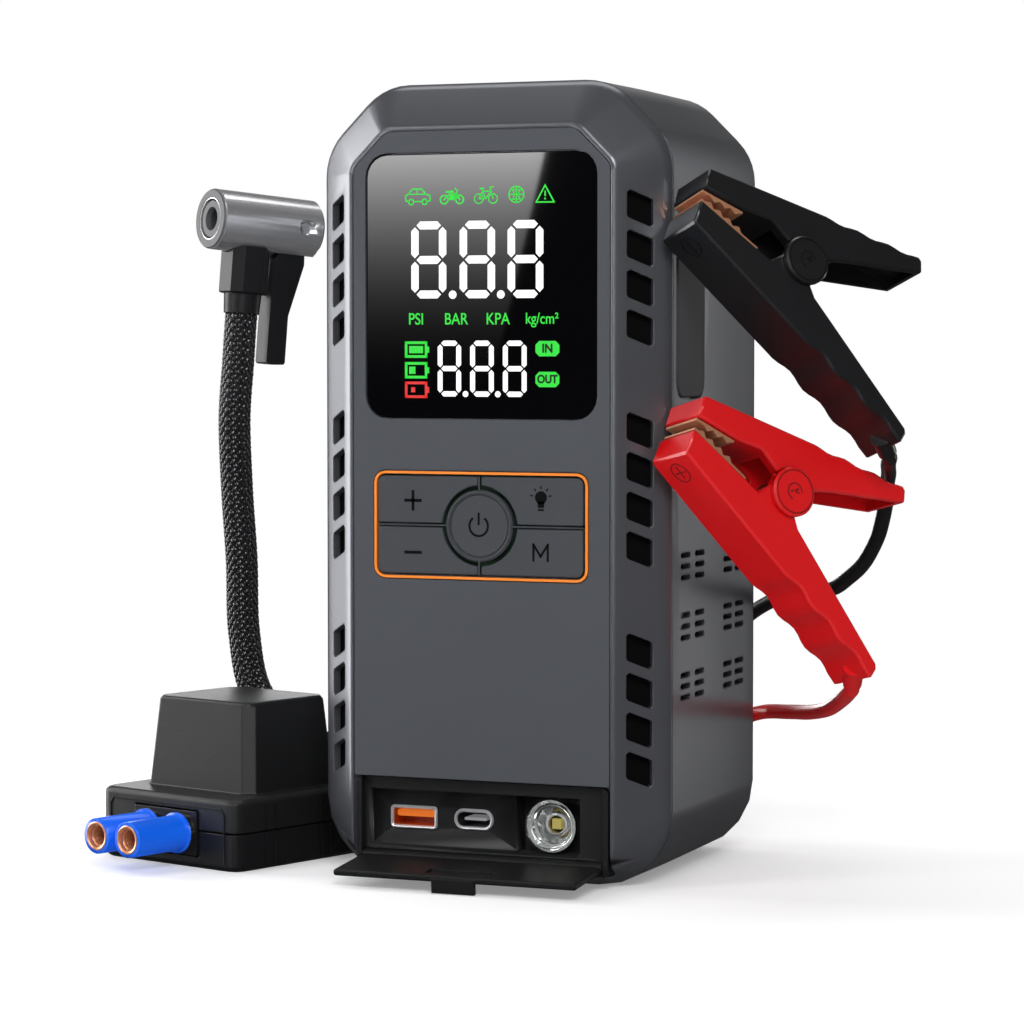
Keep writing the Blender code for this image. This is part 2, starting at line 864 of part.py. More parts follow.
def key_stem(name, x, z):
    """The stem behind a key, which reaches towards its switch on the board."""
    start = (x, FRONT_Y - KEY_PROUD + KEY_THICKNESS / 2, z)
    end = (x, board_front() - KEY_TRAVEL - FIT, z)
    return cylinder(name + "_stem", KEY_STEM_RADIUS, start, end, 10, CUTTERS)


def make_corner_key(name, side_x, side_z, material):
    """A corner key, cut back around the round power key."""
    reach = TRIM_WIDTH + FIT
    outer_x = KEYPAD_WIDTH / 2 - reach
    outer_z = KEYPAD_HEIGHT / 2 - reach
    near = KEY_GAP / 2
    corners = [(near, near), (outer_x, near), (outer_x, outer_z), (near, outer_z)]
    corners = [(x * side_x, KEYPAD_Z + z * side_z) for x, z in corners]
    radii = [0.0, 0.0006, KEYPAD_CORNER - reach, 0.0006]
    if side_x * side_z < 0:
        corners.reverse()
        radii.reverse()
    front = FRONT_Y - KEY_PROUD
    key = plate(name, [rounded(corners, radii, 3)], front, front + KEY_THICKNESS)
    relief = cylinder(
        name + "_relief",
        POWER_KEY_RADIUS + 2 * POWER_RING_GAP,
        (0.0, front - KEY_THICKNESS, KEYPAD_Z),
        (0.0, front + 2 * KEY_THICKNESS, KEYPAD_Z),
        40,
        CUTTERS,
    )
    cut(key, relief)
    bevel(key, 0.00025)
    join(key, key_stem(name, side_x * outer_x * 0.62, KEYPAD_Z + side_z * outer_z * 0.5))
    return shaded(key, material)


def make_power_key(material):
    front = FRONT_Y - KEY_PROUD
    outline = circle(0.0, KEYPAD_Z, POWER_KEY_RADIUS + POWER_RING_GAP, 36)
    key = plate("key_power", [outline], front, front + KEY_THICKNESS)
    groove = plate(
        "power_groove",
        [
            circle(0.0, KEYPAD_Z, POWER_KEY_RADIUS, 36),
            circle(0.0, KEYPAD_Z, POWER_KEY_RADIUS - 0.0003, 36),
        ],
        front - KEY_THICKNESS,
        front + 0.0003,
        CUTTERS,
    )
    cut(key, groove)
    join(key, key_stem("key_power", 0.0, KEYPAD_Z))
    return shaded(key, material)


# ---- port bay ----
def tray_floor():
    return FRONT_Y + TRAY_DEPTH


def make_port_bay(material):
    half = BAY_WIDTH / 2 - FIT
    low = bay_low() + FIT
    bay = plate(
        "port_bay",
        [rectangle(-half, half, low, BAY_TOP - FIT, BAY_CORNER - FIT, 3)],
        FRONT_Y + FIT,
        FRONT_Y + BAY_DEPTH,
    )
    margin = WALL / 2
    half_cover = COVER_WIDTH / 2 + FIT
    pillar = LAMP_X + LAMP_RADIUS + 0.0022
    recess = box(
        "cover_recess",
        (-half_cover, FRONT_Y - margin, low - margin),
        (half_cover, FRONT_Y + COVER_RECESS, BAY_TOP + margin),
        CUTTERS,
    )
    barrel_room = cylinder(
        "barrel_room",
        BARREL_RADIUS + FIT,
        (-half_cover, HINGE_Y, HINGE_Z),
        (half_cover, HINGE_Y, HINGE_Z),
        20,
        CUTTERS,
    )
    tray = box(
        "tray_cutter",
        (-TRAY_HALF_WIDTH, FRONT_Y, TRAY_LOW),
        (pillar, tray_floor(), TRAY_HIGH),
        CUTTERS,
    )
    well = box(
        "lamp_well",
        (LAMP_X - LAMP_RADIUS - 0.0028, FRONT_Y, LAMP_Z - LAMP_RADIUS - FIT - 0.0002),
        (pillar - 0.0008, tray_floor() + LAMP_WELL, TRAY_HIGH),
        CUTTERS,
    )
    pin_hole = cylinder(
        "pin_hole",
        PIN_RADIUS + 0.00015,
        (-half + 0.0008, HINGE_Y, HINGE_Z),
        (half - 0.0008, HINGE_Y, HINGE_Z),
        12,
        CUTTERS,
    )
    cut(bay, recess, barrel_room, tray, well, pin_hole)
    for name, x, z, width, height, corner in port_rows():
        hole = plate(
            name + "_hole",
            [port_outline(x, z, width + 2 * FIT, height + 2 * FIT, corner + FIT)],
            tray_floor() - FIT,
            tray_floor() + USB_DEPTH + FIT,
            CUTTERS,
        )
        cut(bay, hole)
    return shaded(bay, material)


def port_rows():
    return (
        ("usb_a", USB_A_X, USB_A_Z, USB_A_WIDTH, USB_A_HEIGHT, 0.0006),
        ("usb_c", USB_C_X, USB_C_Z, USB_C_WIDTH, USB_C_HEIGHT, USB_C_HEIGHT * 0.45),
    )


def port_outline(x, z, width, height, corner):
    return rectangle(x - width / 2, x + width / 2, z - height / 2, z + height / 2, corner, 4)


def make_port_shell(row, material):
    """A port's metal shell, open at the front, with its back wall."""
    name, x, z, width, height, corner = row
    front = tray_floor() - FIT
    back = tray_floor() + USB_DEPTH
    shell = plate(name + "_shell", [port_outline(x, z, width, height, corner)], front, back)
    inner = 2 * PORT_WALL
    mouth = plate(
        name + "_mouth",
        [port_outline(x, z, width - inner, height - inner, max(corner - PORT_WALL, 0.0003))],
        front - PORT_WALL,
        back - PORT_WALL,
        CUTTERS,
    )
    return shaded(cut(shell, mouth), material)


def make_port_tongue(row, width, height, raise_z, material):
    name, x, z = row[:3]
    front = tray_floor() + 0.0012
    back = tray_floor() + USB_DEPTH - PORT_WALL - FIT
    middle = z + raise_z
    tongue = plate(
        name + "_tongue", [port_outline(x, middle, width, height, height * 0.3)], front, back
    )
    return shaded(tongue, material)


def make_lamp(reflector_finish, lens_finish, led_finish):
    """The lamp's bowl, its domed lens and its light chip, all on one axis towards the front."""
    floor = tray_floor() + LAMP_WELL - FIT
    front = floor - LAMP_DEPTH
    place = along((LAMP_X, front, LAMP_Z), (0.0, -1.0, 0.0))
    rim = LAMP_RADIUS - 0.0008
    chip = 0.0022
    bowl = [(LAMP_RADIUS, 0.0), (LAMP_RADIUS, -0.0012), (LAMP_RADIUS * 0.55, -LAMP_DEPTH)]
    inside = [(chip, -LAMP_DEPTH), (chip, -LAMP_DEPTH * 0.78), (rim * 0.72, -0.0026), (rim, 0.0)]
    shaded(turned("lamp_reflector", bowl + inside, place, 28, ring=True), reflector_finish)
    rise = LENS_DOME
    dome = [(0.0, rise), (rim * 0.5, rise * 0.8), (rim * 0.85, rise * 0.4), (LAMP_RADIUS, FIT)]
    dome += [(LAMP_RADIUS, FIT / 2 + 0.0001), (0.0, FIT / 2 + 0.0001)]
    dome = [(radius, height + FIT) for radius, height in dome]
    shaded(turned("lamp_lens", dome, place, 28), lens_finish)
    side = 0.0013
    led = box(
        "lamp_led",
        (LAMP_X - side, floor - LAMP_DEPTH * 0.3, LAMP_Z - side),
        (LAMP_X + side, floor, LAMP_Z + side),
    )
    shaded(led, led_finish)


def make_port_cover(material):
    """The drop-down cover, drawn flat and turned to where its tab meets the floor."""
    half = COVER_WIDTH / 2
    thick = COVER_THICKNESS / 2
    start = BARREL_RADIUS * 0.5
    leaf = box("port_cover", (-half, FIT - COVER_LENGTH, -thick), (half, -start, thick))
    bevel(leaf, 0.0004)
    barrel = cylinder("cover_barrel", BARREL_RADIUS, (-half, 0, 0), (half, 0, 0), 20, CUTTERS)
    tab = box(
        "cover_tab",
        (-TAB_WIDTH / 2, -COVER_LENGTH, -thick - TAB_REACH),
        (TAB_WIDTH / 2, -COVER_LENGTH + 0.0016, 0.0),
        CUTTERS,
    )
    pull = box(
        "cover_pull",
        (-TAB_WIDTH * 0.75, -COVER_LENGTH + 0.0030, thick - 0.0006),
        (TAB_WIDTH * 0.75, -COVER_LENGTH + 0.0078, thick + WALL),
        CUTTERS,
    )
    bore = cylinder("cover_bore", PIN_RADIUS + 0.0002, (-half * 1.1, 0, 0), (half * 1.1, 0, 0), 12, CUTTERS)
    join(leaf, barrel, tab)
    cut(leaf, pull, bore)
    turn = Matrix.Rotation(COVER_DROOP, 4, "X")
    for piece in (leaf, barrel, tab, pull, bore):
        piece.data.transform(turn)
        piece.location = (0.0, HINGE_Y, HINGE_Z)
    return shaded(leaf, material)


def make_cover_pin(material):
    half = BAY_WIDTH / 2 - 0.0014
    pin = cylinder("cover_pin", PIN_RADIUS, (-half, HINGE_Y, HINGE_Z), (half, HINGE_Y, HINGE_Z), 12)
    return shaded(pin, material)


# ---- jump outlet ----
def make_jump_socket(material):
    middle_y, middle_z = socket_middle()
    face = RIGHT_SIDE - CAP_THICKNESS - 2 * FIT
    half_width = SOCKET_WIDTH / 2
    half_height = SOCKET_HEIGHT / 2
    socket = prism(
        "jump_socket",
        [
            rectangle(
                middle_y - half_width,
                middle_y + half_width,
                middle_z - half_height,
                middle_z + half_height,
                0.0010,
                2,
            )
        ],
        -SOCKET_DEPTH,
        0.0,
        side_place(face),
    )
    for end in (-1, 1):
        z = middle_z + end * SOCKET_HEIGHT / 4
        bore = cylinder(
            "socket_bore_%d" % (end + 1),
            SOCKET_BORE,
            (face + WALL, middle_y, z),
            (face - SOCKET_DEPTH * 0.75, middle_y, z),
            20,
            CUTTERS,
        )
        cut(socket, bore)
    return shaded(socket, material)


def make_jump_cover(material):
    """The rubber cap. It swings on its long front edge."""
    cap = prism(
        "jump_cover",
        [cap_outline(0.0)],
        -CAP_THICKNESS,
        FIT,
        side_place(RIGHT_SIDE),
    )
    bevel(cap, 0.0004)
    put_origin(cap, (RIGHT_SIDE, CAP_FRONT_Y, (CAP_LOW + CAP_HIGH) / 2))
    return shaded(cap, material)


# ---- inside the unit ----
def make_battery(material):
    half = BATTERY_WIDTH / 2
    front = board_front() + BOARD_THICKNESS + 0.0040
    top = UNIT_HEIGHT - BATTERY_TOP_GAP
    pack = box("battery_pack", (-half, front, BATTERY_LOW), (half, front + BATTERY_DEPTH, top))
    return shaded(bevel(pack, 0.0025, 2), material)


def make_main_board(material):
    width, thickness, height = MAIN_BOARD_SIZE
    back = BACK_Y - WALL - 0.0060
    board = box(
        "main_board",
        (-width / 2, back - thickness, UNIT_HEIGHT * 0.5 - height / 2),
        (width / 2, back, UNIT_HEIGHT * 0.5 + height / 2),
    )
    return shaded(board, material)


def make_pump(motor_finish, metal):
    """The pump's motor lies across the unit, with the cylinder standing at its left end."""
    y, z = 0.0100, 0.0715
    right = RIGHT_SIDE - WALL - 0.0065
    left = right - MOTOR_LENGTH
    motor = turned(
        "pump_motor",
        [
            (0.0, MOTOR_LENGTH),
            (MOTOR_RADIUS - 0.0012, MOTOR_LENGTH),
            (MOTOR_RADIUS, MOTOR_LENGTH - 0.0012),
            (MOTOR_RADIUS, 0.0012),
            (MOTOR_RADIUS - 0.0012, 0.0),
            (0.0, 0.0),
        ],
        along((left, y, z), (1.0, 0.0, 0.0)),
        24,
    )
    shaded(motor, motor_finish)
    gear_x = left - FIT
    case = box(
        "pump_cylinder",
        (gear_x - 2 * (PUMP_RADIUS + 0.0022), y - 0.0150, z - 0.0160),
        (gear_x, y + 0.0150, z + 0.0160),
    )
    bevel(case, 0.0020)
    barrel_x = gear_x - PUMP_RADIUS - 0.0022
    barrel = cylinder(
        "pump_barrel", PUMP_RADIUS, (barrel_x, y, z - 0.0140), (barrel_x, y, z - 0.0420), 16, CUTTERS
    )
    fins = [
        cylinder(
            "pump_fin_%d" % index,
            PUMP_RADIUS + 0.0020,
            (barrel_x, y, z - 0.0210 - index * 0.0060),
            (barrel_x, y, z - 0.0225 - index * 0.0060),
            16,
            CUTTERS,
        )
        for index in range(3)
    ]
    join(case, barrel, *fins)
    return shaded(case, metal)


def make_air_outlet(material):
    """The threaded outlet in the left wall, bored for the air."""
    wall_x = LEFT_SIDE + FIT
    stub = OUTLET_BORE + 0.0024
    flange = 0.0062
    depth = 0.0100
    profile = [
        (flange - 0.0004, 0.0022),
        (flange, 0.0018),
        (flange, FIT),
        (stub, FIT),
        (stub, -depth),
        (OUTLET_BORE, -depth),
        (OUTLET_BORE, 0.0022),
    ]
    place = along((wall_x, OUTLET_Y, OUTLET_Z), (-1.0, 0.0, 0.0))
    return shaded(turned("air_outlet", profile, place, 24, ring=True), material)


# ---- air hose and chuck ----
def outlet_face_x():
    return LEFT_SIDE + FIT - 0.0022


def make_hose_nut(material):
    """The swivel nut that holds the hose to its outlet: six flats and a round ferrule."""
    face = outlet_face_x() - FIT
    hexagon = cylinder(
        "hose_nut",
        NUT_RADIUS,
        (face, OUTLET_Y, OUTLET_Z),
        (face - NUT_LENGTH, OUTLET_Y, OUTLET_Z),
        6,
    )
    bevel(hexagon, 0.0005)
    ferrule = cylinder(
        "nut_ferrule",
        HOSE_DIAMETER / 2 + 0.0006,
        (face - NUT_LENGTH / 2, OUTLET_Y, OUTLET_Z),
        (face - NUT_LENGTH - 0.0040, OUTLET_Y, OUTLET_Z),
        24,
        CUTTERS,
    )
    bore = cylinder(
        "nut_bore",
        OUTLET_BORE,
        (face + WALL, OUTLET_Y, OUTLET_Z),
        (face - NUT_LENGTH - 0.0060, OUTLET_Y, OUTLET_Z),
        12,
        CUTTERS,
    )
    join(hexagon, ferrule)
    cut(hexagon, bore)
    return shaded(hexagon, material)


def spread(points, spacing):
    """Points at an even spacing on the smooth curve through a route's own points."""
    route = [Vector(point) for point in points]
    ends = [2 * route[0] - route[1]] + route + [2 * route[-1] - route[-2]]
    fine = []
    for a, b, c, d in zip(ends, ends[1:], ends[2:], ends[3:]):
        for step in range(20):
            t = step / 20
            fine.append(
                0.5
                * (
                    2 * b
                    + (c - a) * t
                    + (2 * a - 5 * b + 4 * c - d) * t * t
                    + (3 * b - a - 3 * c + d) * t * t * t
                )
            )
    fine.append(route[-1])
    length = sum((second - first).length for first, second in zip(fine, fine[1:]))
    count = max(2, round(length / spacing))
    even = [fine[0]]
    walked, wanted = 0.0, length / count
    for first, second in zip(fine, fine[1:]):
        step = (second - first).length
        while walked + step >= wanted and len(even) < count:
            even.append(first.lerp(second, (wanted - walked) / step))
            wanted += length / count
        walked += step
    even.append(fine[-1])
    return even, length


def run_of(route, ends, diameter, spacing):
    """A cord's points and length: straight out of each exit, and smooth through its route between."""
    start, leave, end, arrive = ends
    start, end = Vector(start), Vector(end)
    lead = diameter * 0.5
    points, length = spread(
        [start + leave * lead, *route, end - arrive * lead], diameter * spacing
    )
    return [start, *points, end], length + 2 * lead


def tube(name, points, radius, resolution, group=PARTS):
    """A round tube on a run of points, made a mesh with its end caps welded."""
    curve = bpy.data.curves.new(name + "_path", "CURVE")
    curve.dimensions = "3D"
    curve.bevel_depth = radius
    curve.bevel_resolution = resolution
    curve.use_fill_caps = True
    spline = curve.splines.new("POLY")
    spline.points.add(len(points) - 1)
    for point, place in zip(spline.points, points):
        point.co = (*place, 1.0)
    path = link(bpy.data.objects.new(curve.name, curve), group)
    mesh = solid_of(path)
    bpy.data.objects.remove(path, do_unlink=True)
    weld(mesh)
    mesh.name = name
    return link(bpy.data.objects.new(name, mesh), group)


def make_hose(material):
    start = (outlet_face_x() - NUT_LENGTH - 0.0040 - 2 * FIT, OUTLET_Y, OUTLET_Z)
    rise = chuck_frame().to_3x3() @ Vector((0.0, 0.0, 1.0))
    ends = (start, Vector((-1.0, 0.0, 0.0)), sleeve_foot(), rise)
    points, length = run_of(HOSE_ROUTE, ends, HOSE_DIAMETER, 1.2)
    print("hose length", round(length, 4))
    return shaded(tube("air_hose", points, HOSE_DIAMETER / 2, 2), material)


CHUCK_PLACE = (-0.1058, 0.0380, 0.1860)


def chuck_frame():
    """The chuck's frame: x towards its mouth, z up, origin where hose and chuck axes meet."""
    turn = Matrix.Rotation(math.radians(CHUCK_HEADING), 4, "Z")
    tilt = Matrix.Rotation(math.radians(-CHUCK_TILT), 4, "Y")
    return Matrix.Translation(CHUCK_PLACE) @ turn @ tilt


def sleeve_foot():
    """Where the hose ends, just under the collar of the chuck's sleeve."""
    drop = CHUCK_RADIUS + SLEEVE_LENGTH + COLLAR_LENGTH + FIT
    return chuck_frame() @ Vector((0.0, 0.0, -drop))


def make_chuck_body(material):
    frame = chuck_frame()
    rim = CHUCK_RADIUS
    mouth_floor = CHUCK_FRONT - CHUCK_MOUTH_DEPTH
    profile = [
        (0.0, mouth_floor),
        (CHUCK_MOUTH_RADIUS, mouth_floor),
        (CHUCK_MOUTH_RADIUS, CHUCK_FRONT),
        (rim - 0.0008, CHUCK_FRONT),
        (rim, CHUCK_FRONT - 0.0008),
        (rim, -CHUCK_REAR + 0.0010),
        (rim - 0.0010, -CHUCK_REAR),
        (0.0, -CHUCK_REAR),
    ]
    turn = Matrix(((0, 0, 1), (0, 1, 0), (-1, 0, 0))).to_4x4()
    body = turned("chuck_body", profile, frame @ turn, 28)
    back = -LEVER_PIVOT_BACK
    slot = box(
        "lever_slot",
        (-CHUCK_REAR - 0.0010, -LEVER_WIDTH / 2 - FIT, -CHUCK_RADIUS * 1.2),
        (back + 0.0072, LEVER_WIDTH / 2 + FIT, CHUCK_RADIUS * 0.45),
        CUTTERS,
        frame,
    )
    web = LEVER_WIDTH / 2 + FIT + 0.0024
    eyes = [
        prism(
            "pin_eye_%d" % (side + 1),
            [rectangle(back - 0.0034, back + 0.0024, -0.0022, 0.0022, 0.0021, 5)],
            min(side * web, side * CHUCK_RADIUS * 1.1),
            max(side * web, side * CHUCK_RADIUS * 1.1),
            frame @ FRONT,
            CUTTERS,
        )
        for side in (-1, 1)
    ]
    bore = cylinder(
        "chuck_pin_hole",
        LEVER_PIN_RADIUS + 0.00015,
        frame @ Vector((back, -CHUCK_RADIUS, 0.0)),
        frame @ Vector((back, CHUCK_RADIUS, 0.0)),
        14,
        CUTTERS,
    )
    throat = cylinder(
        "chuck_throat",
        OUTLET_BORE,
        frame @ Vector((CHUCK_FRONT, 0.0, 0.0)),
        frame @ Vector((0.0, 0.0, 0.0)),
        12,
        CUTTERS,
    )
    cut(body, slot, *eyes, bore, throat)
    return shaded(body, material)


def make_chuck_seal(material):
    """The rubber sealing sleeve in the chuck's mouth."""
    outer = CHUCK_MOUTH_RADIUS - FIT
    inner = 0.0031
    front = CHUCK_FRONT - 0.0006
    back = CHUCK_FRONT - CHUCK_MOUTH_DEPTH + FIT
    profile = [
        (outer - 0.0006, front),
        (outer, front - 0.0006),
        (outer, back),
        (inner, back),
        (inner, front - 0.0012),
        (inner + 0.0012, front),
    ]
    turn = Matrix(((0, 0, 1), (0, 1, 0), (-1, 0, 0))).to_4x4()
    seal = turned("chuck_seal", profile, chuck_frame() @ turn, 28, ring=True)
    return shaded(seal, material)


def make_chuck_sleeve(material):
    """The moulded elbow under the chuck: an eight-sided block over a round collar."""
    frame = chuck_frame()
    top = -CHUCK_RADIUS * 0.80
    low = -CHUCK_RADIUS - SLEEVE_LENGTH
    half = SLEEVE_RADIUS
    block = prism(
        "chuck_sleeve",
        [rounded([(-half, -half), (half, -half), (half, half), (-half, half)], 0.0028, 1)],
        low,
        top,
        frame,
    )
    bevel(block, 0.0004)
    collar = cylinder(
        "sleeve_collar",
        COLLAR_RADIUS + 0.0004,
        frame @ Vector((0.0, 0.0, low + 0.0010)),
        frame @ Vector((0.0, 0.0, low - COLLAR_LENGTH)),
        24,
        CUTTERS,
        COLLAR_RADIUS,
    )
    saddle = cylinder(
        "sleeve_saddle",
        CHUCK_RADIUS + FIT,
        frame @ Vector((-CHUCK_REAR, 0.0, 0.0)),
        frame @ Vector((CHUCK_FRONT, 0.0, 0.0)),
        32,
        CUTTERS,
    )
    join(block, collar)
    cut(block, saddle)
    return shaded(block, material)


def make_chuck_lever(lever_finish, pin_finish):
    """The locking lever, which hangs beside the hose and lifts behind the chuck."""
    frame = chuck_frame()
    pivot = Vector((-LEVER_PIVOT_BACK, 0.0, 0.0))
    nose = LEVER_PIVOT_BACK
    outline = [
        (-nose + 0.0028, 0.0018),
        (-nose - 0.0028, 0.0018),
        (-nose - 0.0034, -CHUCK_RADIUS - 0.0020),
        (-nose + 0.0010, -CHUCK_RADIUS - 0.0180),
        (-nose + 0.0010, -CHUCK_RADIUS - 0.0330),
        (-nose + 0.0075, -CHUCK_RADIUS - 0.0330),
        (-nose + 0.0075, -CHUCK_RADIUS - 0.0200),
        (-nose + 0.0070, -CHUCK_RADIUS - 0.0010),
        (-nose + 0.0040, -CHUCK_RADIUS + 0.0030),
    ]
    half = LEVER_WIDTH / 2
    lever = prism(
        "chuck_lever", [rounded(outline, 0.0008, 2)], -half, half, frame @ FRONT
    )
    bore = cylinder(
        "lever_bore",
        LEVER_PIN_RADIUS + 0.00015,
        frame @ (pivot + Vector((0.0, -LEVER_WIDTH, 0.0))),
        frame @ (pivot + Vector((0.0, LEVER_WIDTH, 0.0))),
        14,
        CUTTERS,
    )
    cut(lever, bore)
    put_origin(lever, frame @ pivot)
    shaded(lever, lever_finish)
    reach = CHUCK_RADIUS * 0.92
    pin = cylinder(
        "lever_pin",
        LEVER_PIN_RADIUS,
        frame @ (pivot + Vector((0.0, -reach, 0.0))),
        frame @ (pivot + Vector((0.0, reach, 0.0))),
        14,
    )
    return shaded(pin, pin_finish)


# ---- plug module ----
def module_frame():
    """The module's frame: x towards its plugs, z up, origin under the middle of its base."""
    turn = Matrix.Rotation(math.radians(MODULE_HEADING), 4, "Z")
    return Matrix.Translation(MODULE_PLACE) @ turn


def module_outline(inset):
    half_length = MODULE_LENGTH / 2 - inset
    half_width = MODULE_WIDTH / 2 - inset
    corner = MODULE_CORNER - inset * 0.6
    return rounded(
        [
            (-half_length, -half_width),
            (half_length, -half_width),
            (half_length, half_width),
            (-half_length, half_width),
        ],
        corner,
        2,
    )


def lift(name, rows, frame):
    """A solid through like outlines, each at its own height."""
    bm = bmesh.new()
    rings = []
    for height, outline in rows:
        rings.append([bm.verts.new((x, y, height)) for x, y in outline])
    for lower, upper in zip(rings, rings[1:]):
        count = len(lower)
        for index in range(count):
            following = (index + 1) % count
            bm.faces.new((lower[index], lower[following], upper[following], upper[index]))
    bm.faces.new(list(reversed(rings[0])))
    bm.faces.new(rings[-1])
    bmesh.ops.recalc_face_normals(bm, faces=bm.faces)
    return from_bmesh(name, bm, PARTS, frame)


def housing_outline(inset):
    front = MODULE_LENGTH / 2 - HOUSING_SETBACK - inset
    back = MODULE_LENGTH / 2 - HOUSING_SETBACK - HOUSING_LENGTH + inset
    half = HOUSING_WIDTH / 2 - inset
    return rounded([(back, -half), (front, -half), (front, half), (back, half)], 0.0030, 1)


def plug_y(index):
    return (index - 0.5) * PLUG_SPACING


def make_module(base_finish, cover_finish):
    frame = module_frame()
    edge = 0.0012
    base = lift(
        "module_base",
        [
            (0.0, module_outline(edge)),
            (edge, module_outline(0.0)),
            (MODULE_SPLIT - FIT / 2, module_outline(0.0)),
        ],
        frame,
    )
    cover = lift(
        "module_cover",
        [
            (MODULE_SPLIT + FIT / 2, module_outline(0.0)),
            (MODULE_HEIGHT - edge, module_outline(0.0)),
            (MODULE_HEIGHT, module_outline(edge)),
        ],
        frame,
    )
    top = MODULE_HEIGHT + HOUSING_HEIGHT
    housing = lift(
        "module_housing",
        [
            (MODULE_HEIGHT - 0.0010, housing_outline(0.0)),
            (top - 0.0010, housing_outline(HOUSING_DRAFT)),
            (top, housing_outline(HOUSING_DRAFT + 0.0008)),
        ],
        frame,
    )
    bpy.data.collections[PARTS].objects.unlink(housing)
    link(housing, CUTTERS)
    join(cover, housing)
    front = MODULE_LENGTH / 2
    half = PLUG_SPACING / 2 + PLUG_RADIUS + 0.0012 + FIT
    plug_room = box(
        "plug_room",
        (front - 0.0060, -half, PLUG_Z - PLUG_RADIUS - 0.0012 - FIT),
        (front + 0.0060, half, PLUG_Z + PLUG_RADIUS + 0.0012 + FIT),
        CUTTERS,
        frame,
    )
    cable_room = box(
        "cable_room",
        (-front - 0.0060, -CABLE_SPACING, CABLE_EXIT_Z - 0.0038),
        (-front + 0.0060, CABLE_SPACING, CABLE_EXIT_Z + 0.0038),
        CUTTERS,
        frame,
    )
    for piece in (base, cover):
        cut(piece, plug_room, cable_room)
    shaded(base, base_finish)
    shaded(cover, cover_finish)


def make_plug(material, contact_finish):
    """The twin blue plug, with a ringed contact in each barrel."""
    frame = module_frame()
    front = MODULE_LENGTH / 2
    half = PLUG_SPACING / 2 + PLUG_RADIUS + 0.0012
    reach = PLUG_RADIUS + 0.0012
    block = box(
        "plug_housing",
        (front - 0.0060 + FIT, -half, PLUG_Z - reach),
        (front + 0.0006, half, PLUG_Z + reach),
        PARTS,
        frame,
    )
    bores = []
    barrels = []
    for index in range(2):
        y = plug_y(index)
        foot = frame @ Vector((front - 0.0020, y, PLUG_Z))
        flange = frame @ Vector((front + 0.0030, y, PLUG_Z))
        nose = frame @ Vector((front + PLUG_LENGTH, y, PLUG_Z))
        deep = frame @ Vector((front - 0.0030, y, PLUG_Z))
        past = frame @ Vector((front + PLUG_LENGTH + 0.0010, y, PLUG_Z))
        barrels.append(
            cylinder("plug_flange_%d" % index, PLUG_RADIUS + 0.0007, foot, flange, 24, CUTTERS)
        )
        barrels.append(cylinder("plug_barrel_%d" % index, PLUG_RADIUS, foot, nose, 24, CUTTERS))
        bores.append(
            cylinder("plug_bore_%d" % index, CONTACT_RADIUS + FIT, deep, past, 20, CUTTERS)
        )
    join(block, *barrels)
    cut(block, *bores)
    shaded(block, material)
    for index, side in enumerate(("near", "far")):
        y = plug_y(1 - index)
        make_contact("plug_contact_" + side, frame, front, y, contact_finish)


def make_contact(name, frame, front, y, material):
    """A hollow bullet contact with grip rings inside its mouth."""
    mouth = front + PLUG_LENGTH - 0.0014
    root = front - 0.0030 + FIT
    length = mouth - root
    inner = CONTACT_RADIUS - 0.0007
    profile = [(0.0, length * 0.45), (inner, length * 0.45)]
    ring_count = 3
    span = length * 0.5 / ring_count
    for index in range(ring_count):
        low = length * 0.47 + index * span
        profile += [(inner, low), (inner - 0.0004, low + span * 0.5), (inner, low + span * 0.95)]
    profile += [(inner, length), (CONTACT_RADIUS, length), (CONTACT_RADIUS, 0.0), (0.0, 0.0)]
    place = frame @ Matrix.Translation((root, y, PLUG_Z)) @ along((0, 0, 0), (1.0, 0.0, 0.0))
    return shaded(turned(name, profile, place, 14), material)


def cable_exit(color):
    """Where a cable leaves the module's back, in the module's frame."""
    side = 1 if color == "red" else -1
    return Vector((-MODULE_LENGTH / 2, side * CABLE_SPACING / 2, CABLE_EXIT_Z))


def make_grommet(material):
    """The rubber grommet that both cables pass out of."""
    frame = module_frame()
    back = -MODULE_LENGTH / 2
    radius = CABLE_DIAMETER / 2 + 0.0013
    block = box(
        "cable_grommet",
        (back - 0.0010, -CABLE_SPACING + FIT, CABLE_EXIT_Z - 0.0038 + FIT),
        (back + 0.0060 - FIT, CABLE_SPACING - FIT, CABLE_EXIT_Z + 0.0038 - FIT),
        PARTS,
        frame,
    )
    bevel(block, 0.0004)
    for color in ("black", "red"):
        exit_point = cable_exit(color)
        start = frame @ (exit_point + Vector((0.0020, 0.0, 0.0)))
        end = frame @ (exit_point - Vector((GROMMET_LENGTH, 0.0, 0.0)))
        sleeve = cylinder("grommet_" + color, radius, start, end, 16, CUTTERS, radius - 0.0004)
        join(block, sleeve)
    return shaded(block, material)


# ---- clamps ----
def lower_outline():
    """Side view of the lower arm: jaw at -x, handle at +x, scalloped finger side below."""
    tip, end, back = -LOWER_TIP, LOWER_END, -LOWER_BACK
    ear = arc(0.0, 0.0, EAR_RADIUS, 205, -35, 12)
    points = [(tip, -0.0107), (-0.0075, -0.0078)]
    points += ear
    points += [(0.0086, -0.0056), (end - 0.0010, -0.0140), (end, -0.0150), (end + 0.0004, back - 0.0002)]
    steps = 6 * SCALLOP_COUNT
    for step in range(1, steps):
        run = SCALLOP_PITCH * SCALLOP_COUNT * (1 - step / steps)
        dip = SCALLOP_DEPTH * math.sin(math.pi * run / SCALLOP_PITCH) ** 2
        points.append((SCALLOP_START + run, back + dip))
    points += [(SCALLOP_START, back), (tip + 0.0022, back + 0.0004)]
    points.reverse()
    return points


